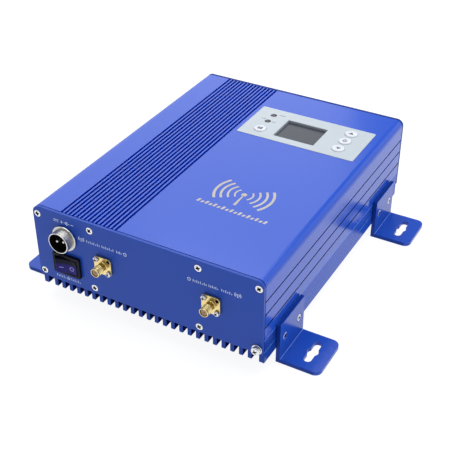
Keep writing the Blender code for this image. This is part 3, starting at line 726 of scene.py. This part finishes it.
def screw_meshes():
    flat = lathe([(0, -0.02), (1.95, -0.02), (2.22, -0.06), (2.40, -0.15), (2.48, -0.28), (2.46, -0.38), (1.25, -1.6),
                  (1.2, -1.8), (1.2, -8.0), (0, -8.0)], 48)
    flat = with_recess(flat, 3.0, 1.10, 1.45, 0.0, 0.92)
    pan = [(0, 1.70)] + [(2.9 * math.sin(math.radians(t)), 0.75 + 0.95 * math.cos(math.radians(t)))
                         for t in (20, 35, 50, 62, 72, 80, 86)]
    pan += [(2.9, 0.7), (2.9, 0.12), (2.78, 0.0), (1.2, 0.0), (1.2, -10.0), (0, -10.0)]
    pan = with_recess(lathe(pan, 48), 3.1, 0.80, 1.2, 1.62, 0.62)
    small = [(0, 1.50)] + [(1.8 * math.sin(math.radians(t)), 0.75 + 0.75 * math.cos(math.radians(t)))
                           for t in (20, 35, 50, 62, 72, 82)]
    small += [(1.8, 0.6), (1.8, 0.1), (1.7, 0.0), (1.0, 0.0), (1.0, -6.5), (0, -6.5)]
    small = with_recess(lathe(small, 40), 2.3, 0.78, 1.1, 1.45, 0.55)
    return flat, pan, small


def make_screws():
    flat, pan, small = screw_meshes()

    def put(name, me, node, x, y, z, rot, spin):
        m = rot @ Matrix.Rotation(math.radians(spin), 4, "Z")
        piece(name, me, ["steel", "recess"], slot="screw_steel", replaces=[node], loc=(x, y, z), rot=m, angle=28)

    spins = (8, 52, 21, 40, 67, 15, 33, 74, 5, 49, 26, 61, 12, 38, 57, 3, 81, 29, 44, 70, 18)
    k = 0
    for i, (x, z) in enumerate(FRONT_SCREWS):
        put("plate_screw_front_%d" % (i + 1), flat, "front_screw_%d" % (i + 1), x, FRONT_Y, z, FRONT, spins[k]); k += 1
    for i, (x, z) in enumerate(REAR_SCREWS):
        put("plate_screw_rear_%d" % (i + 1), flat, "rear_screw_%d" % (i + 1), x, REAR_Y, z, REAR, spins[k]); k += 1
    for end, yc in zip(("front", "rear"), BRACKET_Y):
        for sname, s in (("right", 1), ("left", -1)):
            for i, d in enumerate((-1, 1)):
                put("foot_screw_%s_%s_%d" % (end, sname, i + 1), flat, "%s_%s_bracket_screw_%d" % (end, sname, i + 1),
                    s * (BRACKET_X0 + BRACKET_T), yc + d * BRACKET_SCREW_DY, BRACKET_SCREW_Z,
                    RIGHT if s > 0 else LEFT, spins[k]); k += 1
    put("earth_terminal_screw", pan, "earth_screw", EARTH_X, FRONT_Y - 1.8, EARTH_Z, FRONT, 24)
    for ax, nm in zip(ANTENNA_X, ("outdoor", "indoor")):
        for i, s in enumerate((-1, 1)):
            put("flange_screw_%s_%d" % (nm, i + 1), small, "%s_antenna_screw_%d" % (nm, i + 1),
                ax + s * ANTENNA_PITCH / 2, FRONT_Y - 2.2, ANTENNA_Z - s * ANTENNA_PITCH / 2, FRONT, 15 + 40 * i)
    washer = bevelled(lathe([(1.6, 0.4), (3.4, 0.4), (3.4, 0), (1.6, 0)], 56, True), 0.1, 2)
    piece("earth_plain_washer", washer, "steel", slot="screw_steel", replaces=["earth_flat_washer"],
          loc=(EARTH_X, FRONT_Y - 0.3, EARTH_Z), rot=FRONT)
    spring = lathe([(1.6, 0.55), (2.75, 0.55), (2.75, 0), (1.6, 0)], 56, True)
    spring = bevelled(boolean(spring, moved(box(1.0, -0.25, -1, 4.0, 0.25, 2), Matrix.Rotation(0.5, 4, "X"))), 0.08, 2)
    piece("earth_split_washer", spring, "steel", slot="screw_steel", replaces=["earth_spring_washer"],
          loc=(EARTH_X, FRONT_Y - 1.0, EARTH_Z), rot=FRONT)


# ---------------------------------------------------------- mounting brackets
def bracket_mesh(side):
    x0, x1, t, h = BRACKET_X0, BRACKET_X1, BRACKET_T, BRACKET_LEN / 2
    ell = [(x0, 0), (x1, 0), (x1, t), (x0 + t, t), (x0 + t, BRACKET_H), (x0, BRACKET_H)]
    me = along_y(prism(ell, -h, h))
    dy = math.sqrt(SLOT_EYE_R ** 2 - (SLOT_W / 2) ** 2)
    eye = math.degrees(math.atan2(dy, SLOT_W / 2))
    r = SLOT_W / 2
    end = SLOT_L / 2 - r
    slot = (arc(0, end, r, 0, 180, 16) + arc(0, 0, SLOT_EYE_R, 180 - eye, 180 + eye, 14)
            + arc(0, -end, r, 180, 360, 16) + arc(0, 0, SLOT_EYE_R, -eye, eye, 14))
    cutters = [prism([(SLOT_X + x, y) for x, y in slot], -2, t + 2)]
    for s in (-1, 1):
        bite = [(x1 + 2, s * (h - FOOT_R))] + [(x, s * y) for x, y in arc(x1 - FOOT_R, h - FOOT_R, FOOT_R, 0, 90, 14)] \
            + [(x1 - FOOT_R, s * (h + 2)), (x1 + 2, s * (h + 2))]
        cutters.append(prism(bite, -2, t + 2))
    me = boolean(me, merged(cutters))
    me = bevelled(me, 0.30, 3, 40)
    cs = countersink()
    me = boolean(me, merged([moved(cs, at(x0 + t, s * BRACKET_SCREW_DY, BRACKET_SCREW_Z) @ RIGHT) for s in (-1, 1)]))
    # Painted highlight on the inner bend and the inner top lip (second material); painted shade on the top face and the
    # end faces (third).
    for p in me.polygons:
        c, n = p.center, p.normal
        inner = abs(c.x - x0 - t) < 0.45 and abs(c.z - t) < 0.45 and abs(n.x) > 0.2 and abs(n.z) > 0.2
        lip = c.z > BRACKET_H - 0.32 and c.x < x0 + 0.32 and n.x < -0.2 and n.z > 0.2
        top = n.z > 0.9 and c.z > BRACKET_H - 0.1
        # Painted shade: the top face and the end faces take the third, darker material.
        p.material_index = 1 if inner or lip else 2 if top or (abs(n.y) > 0.9 and abs(abs(c.y) - h) < 0.1) else 0
    if side < 0:
        me.transform(Matrix.Scale(-1, 4, (1, 0, 0)))
        me.flip_normals()
    return me


def make_brackets():
    for side, sname in ((1, "right"), (-1, "left")):
        me = bracket_mesh(side)
        for end, yc in zip(("front", "rear"), BRACKET_Y):
            piece("foot_%s_%s" % (end, sname), me, ["bracket", "bend_highlight", "bracket_shade"], slot="bracket_blue",
                  replaces=["%s_%s_bracket" % (end, sname)], loc=(0, yc, 0))


# ---------------------------------------------------------------- power inlet
def make_power_socket():
    place = dict(loc=(SOCKET_X, FRONT_Y, SOCKET_Z), rot=FRONT)
    ring = threaded(7.36, 0.09, 0.75, 1.75, 6.8, 6.78, n=96, per=8,
                    head=[(7.36, 6.9), (7.36, 7.28), (7.24, 7.45), (7.08, 7.5), (6.92, 7.5), (6.80, 7.42), (6.78, 7.1),
                          (6.78, 0.9), (6.3, 0.8), (6.3, -11.5), (7.0, -11.5)],
                    tail=[(7.0, -0.1), (7.0, 0.3), (8.75, 0.3), (8.95, 0.45), (9.0, 0.7), (9.0, 1.2), (8.92, 1.55),
                          (8.7, 1.78), (7.5, 1.8), (7.42, 1.78)])
    ring = painted(ring, lambda c, n: c.z > 7.2 or (0.2 < c.z < 1.9 and math.hypot(c.x, c.y) > 8.6))
    piece("inlet_shell", ring, ["nickel", "rim"], slot="nickel_plate", replaces=["power_socket_shell"], angle=50, **place)
    body = lathe([(0, 1.5), (5.35, 1.5), (5.8, 1.55), (6.25, 1.9), (6.36, 2.4), (6.36, 7.0), (6.48, 7.12), (6.62, 7.12),
                  (6.70, 7.0), (6.70, 1.1), (5.95, 1.0), (5.95, -10.0), (0, -10.0)], 80)
    cutters = [moved(prism(circle(0, 0, 1.35, 24), -14, 6), at(s * 2.59, s * 0.50, 0)) for s in (-1, 1)]
    body = boolean(body, merged(cutters))
    key = moved(bevelled(box(-0.8, 5.2, 1.0, 0.8, 6.5, 6.2), 0.12, 2), Matrix.Identity(4))
    body = merged([body, key])
    piece("inlet_insert", body, "black", slot="black_plastic", replaces=["power_socket_insert"], **place)
    tip = [(0, 5.6)] + [(1.05 * math.sin(math.radians(t)), 4.55 + 1.05 * math.cos(math.radians(t)))
                        for t in (20, 40, 60, 78, 90)] + [(1.05, -13.9), (0, -14.0)]
    pin = lathe(tip, 32)
    for s, nm in ((-1, "left"), (1, "right")):
        piece("inlet_pin_%s" % nm, pin, "pin", slot="nickel_plate", replaces=["power_socket_pin_%s" % nm],
              loc=(SOCKET_X + s * 2.59, FRONT_Y, SOCKET_Z + s * 0.50), rot=FRONT)


# -------------------------------------------------------------- rocker switch
def make_switch():
    place = dict(loc=(SWITCH_X, FRONT_Y, SWITCH_Z), rot=FRONT)
    bezel = plate([round_rect(-10.5, -7.75, 10.5, 7.75, 1.1, 6), rect(-8.5, -5.6, 8.5, 5.6)], 0.3, 2.2, 0.35, 3)
    tub = boolean(box(-9.3, -6.2, -16.0, 9.3, 6.2, 0.6), box(-8.5, -5.6, -6.6, 8.5, 5.6, 4.0))
    piece("switch_frame", merged([bezel, tub]), "bezel", slot="black_plastic", replaces=["switch_housing"], **place)

    # Rocker: two dished pads that meet in a soft ridge, outline in X-Y, -Y outwards.
    a, r = [], 19.0
    for k in range(13):
        x = -7.05 + k * 7.05 / 12
        sag = math.sqrt(r * r - 3.525 ** 2)
        a.append((x, -(5.22 - (5.22 - 4.40) * (x + 7.05) / 7.05) + (math.sqrt(max(0, r * r - (x + 3.525) ** 2)) - sag)))
    outer = a + [(-x, y) for x, y in reversed(a[:-1])]
    loop = [(-7.3, -1.2), (-7.3, -4.95), (-7.2, -5.15)] + outer + [(7.2, -5.15), (7.3, -4.95), (7.3, -1.2),
                                                                    (2.4, 4.0), (-2.4, 4.0)]
    me = prism(loop, -5.25, 5.25)
    me = bevelled(me, 0.35, 3, 50)
    axle = moved(prism(circle(0, 0, 0.8, 20), -5.9, 5.9), Matrix.Identity(4))
    me = merged([me, axle])
    turn = Matrix.Rotation(ROCKER_TILT, 4, "Z")
    pad = piece("rocker_cap", me, "rocker", "rocker", "black_plastic", ["switch_rocker"],
                loc=(SWITCH_X, ROCKER_PIVOT_Y, SWITCH_Z), rot=turn, angle=40)

    def skin(x):
        """Outer surface of the rocker at x."""
        u = -abs(x)
        sag = math.sqrt(r * r - 3.525 ** 2)
        return -(5.22 - (5.22 - 4.40) * (u + 7.05) / 7.05) + (math.sqrt(max(0, r * r - (u + 3.525) ** 2)) - sag)

    def mark(points, name):
        """Flat mark laid on the rocker: points are rows of (x, z) pairs forming a closed band."""
        bm = bmesh.new()
        for quad in points:
            lo = [bm.verts.new((x, skin(x) + 0.02, z)) for x, z in quad]
            hi = [bm.verts.new((x, skin(x) - 0.05, z)) for x, z in quad]
            bm.faces.new(hi)
            bm.faces.new(lo[::-1])
            n = len(quad)
            for i in range(n):
                bm.faces.new((lo[i], lo[(i + 1) % n], hi[(i + 1) % n], hi[i]))
        piece(name, from_bm(bm), "mark", "rocker", "button_white", loc=(SWITCH_X, ROCKER_PIVOT_Y, SWITCH_Z), rot=turn)

    bars = [[(-5.2 + i * 0.48, -1.35), (-5.2 + (i + 1) * 0.48, -1.35), (-5.2 + (i + 1) * 0.48, -0.95),
             (-5.2 + i * 0.48, -0.95)] for i in range(6)]
    mark(bars, "mark_on")
    ring = []
    for i in range(28):
        t0, t1 = 2 * math.pi * i / 28, 2 * math.pi * (i + 1) / 28
        ring.append([(3.7 + 1.55 * math.cos(t0), -1.15 + 1.55 * math.sin(t0)),
                     (3.7 + 1.55 * math.cos(t1), -1.15 + 1.55 * math.sin(t1)),
                     (3.7 + 1.17 * math.cos(t1), -1.15 + 1.17 * math.sin(t1)),
                     (3.7 + 1.17 * math.cos(t0), -1.15 + 1.17 * math.sin(t0))])
    mark(ring, "mark_off")
    return pad


# ------------------------------------------------------------ antenna sockets
def make_antenna_sockets():
    half = 6.35
    loops = [round_rect(-half, -half, half, half, 2.3, 7)]
    for sx in (-1, 1):
        for sz in (-1, 1):
            loops.append(circle(sx * ANTENNA_PITCH / 2, sz * ANTENNA_PITCH / 2, 1.3, 24))
    flange = plate(loops, 0.3, 1.9, 0.15, 2)
    barrel = threaded(3.10, 0.26, 0.705, 5.0, 9.4, 2.3, n=56, per=8,
                      head=[(3.10, 9.5), (3.10, 9.8), (3.0, 10.05), (2.8, 10.2), (2.62, 10.2), (2.52, 10.1), (2.5, 9.9),
                            (2.5, 1.2), (1.0, 1.2), (1.0, -8.0), (2.1, -8.0)],
                      tail=[(2.1, 0.9), (3.15, 0.9), (3.15, 2.0), (3.0, 2.15), (2.6, 2.25), (2.55, 2.4), (2.55, 4.6),
                            (2.65, 4.8), (2.9, 4.9)])
    flange = painted(flange, lambda c, n: False)
    # Painted shade: the undercut between flange and thread takes the dark gold.
    barrel = painted(barrel, lambda c, n: 2.1 < c.z < 4.95 and 2.5 < math.hypot(c.x, c.y) < 3.05)
    both = merged([flange, barrel])
    liner = lathe([(0.65, 9.55), (2.05, 9.55), (2.2, 9.45), (2.22, 9.3), (2.22, 1.35), (0.65, 1.35)], 40, True)
    contact = lathe([(0.30, 9.65), (0.52, 9.65), (0.58, 9.55), (0.58, 1.4), (0.0, 1.4), (0.0, 3.0), (0.30, 3.0)], 32)
    for ax, nm in zip(ANTENNA_X, ("outdoor", "indoor")):
        place = dict(loc=(ax, FRONT_Y, ANTENNA_Z), rot=FRONT)
        piece("%s_connector" % nm, both, ["gold", "gold_dark"], slot="gold_plate",
              replaces=["%s_antenna_socket" % nm], angle=50, **place)
        piece("%s_connector_liner" % nm, liner, "ptfe", slot="white_insulator",
              replaces=["%s_antenna_insulator" % nm], **place)
        piece("%s_connector_contact" % nm, contact, "gold_dark", slot="gold_plate", **place)


# ------------------------------------------------------- keypad and display
def flat_shape(loops, z0, z1):
    return merged([prism(l, z0, z1) for l in loops])


def bar(x0, y0, x1, y1, w):
    d = Vector((x1 - x0, y1 - y0)).normalized() * (w / 2)
    n = Vector((-d.y, d.x))
    return [(x0 + n.x, y0 + n.y), (x0 - n.x, y0 - n.y), (x1 - n.x, y1 - n.y), (x1 + n.x, y1 + n.y)]


def band(cx, cy, r, w, a0, a1, n=16):
    return arc(cx, cy, r + w / 2, a0, a1, n) + arc(cx, cy, r - w / 2, a1, a0, n)


def make_keypad():
    loops = [round_rect(PAD_X0, PAD_Y0, PAD_X1, PAD_Y1, 1.2, 8),
             round_rect(LCD_X0, LCD_Y0, LCD_X1, LCD_Y1, 0.3, 2)]
    loops += [circle(x, y, 2.3, 28) for x, y in LEDS]
    loops += [circle(x, y, 4.75, 40) for _, _, x, y in BUTTONS]
    film = plate(loops, TOP_Z - 0.2, TOP_Z + 0.26, 0.10, 2)
    piece("keypad_film", film, "film", slot="overlay_film", replaces=["keypad_overlay"])

    cap = [(0, 73.12), (1.8, 73.14), (2.6, 73.20), (3.1, 73.27), (3.5, 73.30), (3.9, 73.26), (4.2, 73.16), (4.42, 73.02),
           (4.55, 72.86), (4.58, 72.7), (4.58, 71.6), (4.9, 71.6), (5.0, 71.5), (5.0, 70.7), (1.5, 70.7), (1.5, 67.9), (0, 67.9)]
    cap_mesh = lathe(cap, 56)
    for node, body, x, y in BUTTONS:
        piece("key_" + body.split("_")[0], cap_mesh, "button", body, "button_white", [node], loc=(x, y, 0), angle=50)

    z0, z1 = 73.08, 73.24
    icons = {
        "menu": [bar(-1.9, 1.1, 1.9, 1.1, 0.62), bar(-1.9, 0.0, 1.9, 0.0, 0.62), bar(-1.9, -1.1, 1.9, -1.1, 0.62)],
        "up": [[(-1.8, -1.1), (1.8, -1.1), (0.0, 1.6)]],
        "enter": [band(0, 0, 1.35, 0.6, 100, 400, 20), bar(0, 0.2, 0, 2.0, 0.6)],
        "down": [[(-1.8, 1.1), (0.0, -1.6), (1.8, 1.1)]],
    }
    for node, body, x, y in BUTTONS:
        k = body.split("_")[0]
        piece("key_sign_" + k, flat_shape(icons[k], z0, z1), "icon", body, "lens_smoke", loc=(x, y, 0))
    lens = lathe([(0, 72.60), (1.2, 72.58), (1.7, 72.50), (1.95, 72.36), (2.0, 72.2), (2.0, 62.9), (0, 62.9)], 40)
    for i, (x, y) in enumerate(LEDS):
        piece("lamp_window_%d" % (i + 1), lens, "lens", slot="lens_smoke", replaces=["indicator_lens_%d" % (i + 1)],
              loc=(x, y, 0), angle=50)

    # Display: module with the grey glass set about 2 mm below the film.
    glass_z = 70.3
    module = box(7.4, 45.6, 62.9, 43.2, 75.6, 67.0)
    stand = box(LCD_X0 + 0.3, LCD_Y0 + 0.3, 66.5, LCD_X1 - 0.3, LCD_Y1 - 0.3, glass_z)
    skirt = plate([rect(LCD_X0 + 0.05, LCD_Y0 + 0.05, LCD_X1 - 0.05, LCD_Y1 - 0.05),
                   rect(LCD_X0 + 0.3, LCD_Y0 + 0.3, LCD_X1 - 0.3, LCD_Y1 - 0.3)], 66.5, 72.2)
    piece("display_case", merged([module, stand, skirt]), "lcd_frame", slot="display_glass", replaces=["display_module"])
    pane = plate([round_rect(LCD_X0 + 0.35, LCD_Y0 + 0.35, LCD_X1 - 0.35, LCD_Y1 - 0.35, 0.4, 3)],
                 glass_z + 0.02, glass_z + 0.5, 0.1, 1)
    piece("display_pane", pane, "lcd", slot="display_glass")
    # Signs beside the two lamps.
    signs = []
    for x0, x1, y in ((0.6, 5.4, 76.2), (-9.4, -5.6, 66.6), (0.4, 3.6, 64.6)):
        n = int((x1 - x0) / 0.95)
        for k in range(n):
            hgt = (1.1, 0.7, 1.1, 0.9)[k % 4]
            signs.append(rect(x0 + k * 0.95, y - 0.5, x0 + k * 0.95 + 0.5, y - 0.5 + hgt))
    piece("lamp_signs", flat_shape(signs, TOP_Z + 0.22, TOP_Z + 0.30), "icon", slot="lens_smoke")


# ---------------------------------------------------------------- markings
def sign(kind, x, z, w=0.40):
    """Plain pictogram centred on x, z."""
    if kind == "plus":
        return [bar(x - 1.05, z, x + 1.05, z, w), bar(x, z - 1.05, x, z + 1.05, w)]
    if kind == "minus":
        return [bar(x - 1.05, z, x + 1.05, z, w)]
    if kind == "mast":
        return [bar(x, z - 1.2, x, z + 0.5, w), circle(x, z + 0.7, 0.42, 14), bar(x - 0.7, z - 1.2, x + 0.7, z - 1.2, w * 0.8)]
    if kind == "house":
        return [bar(x - 1.3, z + 0.15, x, z + 1.2, w), bar(x, z + 1.2, x + 1.3, z + 0.15, w),
                bar(x - 0.85, z - 1.1, x - 0.85, z + 0.3, w), bar(x + 0.85, z - 1.1, x + 0.85, z + 0.3, w),
                bar(x - 1.05, z - 1.0, x + 1.05, z - 1.0, w)]
    if kind == "arcs_right":
        return [band(x - 1.4, z + 0.4, r, w, -48, 48, 8) for r in (1.0, 1.9)]
    return [band(x + 1.4, z + 0.4, r, w, 132, 228, 8) for r in (1.0, 1.9)]


def ticks(x0, x1, z, w=0.40):
    """Scale-like row of plain upright ticks from x0 to x1."""
    n = max(2, int(round((x1 - x0) / 1.34)) + 1)
    out = []
    for k in range(n):
        x = x0 + w / 2 + (x1 - x0 - w) * k / (n - 1)
        h = (0.95, 0.70, 0.95, 0.70, 0.95, 0.45)[k % 6]
        out.append(rect(x - w / 2, z - 0.95, x + w / 2, z - 0.95 + 2 * h))
    return out


def make_front_signs():
    """Generic white pictograms and plain marks in the places of the printed legends."""
    w = 0.42
    shapes = []
    # direct current and polarity, above the power inlet
    x, z = -66.2, 66.5
    shapes += [bar(x, z + 0.6, x + 3.8, z + 0.6, w)]
    shapes += [bar(x + k * 1.4, z - 0.6, x + k * 1.4 + 0.95, z - 0.6, w) for k in range(3)]
    shapes += sign("plus", x + 6.3, z, w)
    shapes += [bar(x + 8.2, z, x + 9.2, z, w), band(x + 10.3, z, 1.0, w, 40, 320, 16),
               circle(x + 10.3, z, 0.42, 12), bar(x + 11.2, z, x + 12.4, z, w)]
    shapes += sign("minus", x + 14.4, z, w)
    # power sign between rows of ticks, below the switch
    x, z = -59.5, 22.35
    shapes += [band(x, z, 0.95, w, 125, 415, 18), bar(x, z + 0.1, x, z + 1.3, w)]
    shapes += ticks(x - 9.3, x - 2.2, z) + ticks(x + 2.2, x + 9.3, z)
    # one antenna sending outside the house, one sending inside it
    z = 58.1
    shapes += sign("mast", -45.6, z) + sign("arcs_left", -47.2, z) + sign("arcs_right", -44.0, z)
    shapes += ticks(-41.6, -31.8, z) + ticks(-30.0, -21.4, z) + ticks(-19.0, -15.4, z) + sign("house", -12.8, z)
    z = 56.9
    shapes += sign("house", 32.8, z) + ticks(35.4, 44.6, z) + ticks(46.2, 52.4, z) + ticks(54.8, 61.8, z)
    shapes += sign("arcs_left", 64.0, z) + sign("mast", 65.6, z) + sign("arcs_right", 67.2, z)
    me = along_y(flat_shape(shapes, -FRONT_Y - 0.03, -FRONT_Y + 0.05))
    piece("front_signs", me, "print", slot="button_white")


def make_ornament():
    """A mast with radiating arcs over a row of level bars, in foil on the cover."""
    cx, cy = 29.0, -37.5
    shapes = [[(cx - 1.0, cy - 7.0), (cx + 1.0, cy - 7.0), (cx + 0.45, cy + 5.2), (cx - 0.45, cy + 5.2)],
              circle(cx, cy + 6.4, 1.9, 32)]
    for i, r in enumerate((6.0, 10.5, 15.0, 19.5)):
        w = 1.15 + 0.22 * i
        span = 46 - 3 * i
        shapes += [band(cx, cy + 6.4, r, w, -span, span, 32), band(cx, cy + 6.4, r, w, 180 - span, 180 + span, 32)]
    n = 17
    for k in range(n):
        x = 5.2 + k * 3.05
        hgt = 3.4 if k % 2 == 0 else 2.2
        y = -51.4 - 0.055 * (x - 5)
        shapes.append([(x, y), (x + 1.7, y - 0.05), (x + 1.7 + 0.8, y - 0.05 + hgt), (x + 0.8, y + hgt)])
    piece("cover_ornament", flat_shape(shapes, TOP_Z - 0.03, TOP_Z + 0.05), "foil", slot="gold_plate")


# ------------------------------------------------------------- hidden nodes
def finish_hidden():
    for n, m in (("main_board", "board"), ("display_board", "board"), ("shield_can", "tin"), ("power_socket_nut", "nickel")):
        o = nodes[n]
        if not o.material_slots:
            o.data.materials.append(MAT[m])
        for s in o.material_slots:
            s.material = MAT[m]


# --------------------------------------------------------- floor and lights
def make_stage():
    bm = bmesh.new()
    bmesh.ops.create_grid(bm, x_segments=2, y_segments=2, size=6.0)
    me = from_bm(bm)
    me.transform(Matrix.Translation((0, 0, -0.0004)))
    floor = bpy.data.objects.new("studio_floor", me)
    m = Nodes("floor_pale", (0.15, 0.15, 0.155), 0.85)
    a = m.noise(6.0, 3.0)
    m.color(m.mix(m.span(a, 0.0, 1.0), (0.147, 0.147, 0.151), (0.153, 0.153, 0.157)))
    m.b.inputs["Specular IOR Level"].default_value = 0.1
    m.b.inputs["Emission Color"].default_value = (1.0, 1.0, 1.0, 1.0)
    m.b.inputs["Emission Strength"].default_value = 0.91
    me.materials.append(m.mat)
    scene.collection.objects.link(floor)

    world = bpy.data.worlds.new("studio")
    scene.world = world
    world.use_nodes = True
    nt = world.node_tree
    bg = nt.nodes["Background"]
    sky = nt.nodes.new("ShaderNodeTexCoord")
    sep = nt.nodes.new("ShaderNodeSeparateXYZ")
    nt.links.new(sky.outputs["Generated"], sep.inputs[0])
    ramp = nt.nodes.new("ShaderNodeMapRange")
    ramp.interpolation_type = "SMOOTHSTEP"
    for k, v in (("From Min", 0.02), ("From Max", 0.22), ("To Min", 0.95), ("To Max", 0.42)):
        ramp.inputs[k].default_value = v
    nt.links.new(sep.outputs["Z"], ramp.inputs["Value"])
    bg.inputs["Color"].default_value = (0.96, 0.97, 1.0, 1.0)
    nt.links.new(ramp.outputs["Result"], bg.inputs["Strength"])

    def area(name, loc, target, size, power, color=(1, 1, 1)):
        li = bpy.data.lights.new(name, "AREA")
        li.shape = "RECTANGLE"
        li.size, li.size_y = size
        li.energy = power
        li.color = color
        ob = bpy.data.objects.new(name, li)
        scene.collection.objects.link(ob)
        d = Vector(target) - Vector(loc)
        ob.matrix_world = Matrix.Translation(loc) @ d.to_track_quat("-Z", "Y").to_matrix().to_4x4()
        return ob

    area("light_top", (0.0, 0.35, 1.5), (0.0, 0.0, 0.0), (1.8, 1.8), 25.0)
    area("light_back", (-0.96, 1.08, 0.92), (0.0, 0.0, 0.05), (1.3, 1.2), 6.4)
    area("light_side", (1.5, 0.2, 1.1), (0.0, 0.0, 0.03), (1.0, 1.0), 4.6)
    area("light_edge", (1.0, 1.25, 0.72), (0.0, 0.0, 0.05), (1.2, 0.8), 2.2)
    scene.view_settings.view_transform = "Standard"
    scene.view_settings.look = "None"
    scene.view_settings.exposure = 0.0
    scene.view_settings.gamma = 1.0


make_camera()
make_case()
make_plates()
make_screws()
make_brackets()
make_power_socket()
make_switch()
make_antenna_sockets()
make_keypad()
make_front_signs()
make_ornament()
finish_hidden()
make_stage()
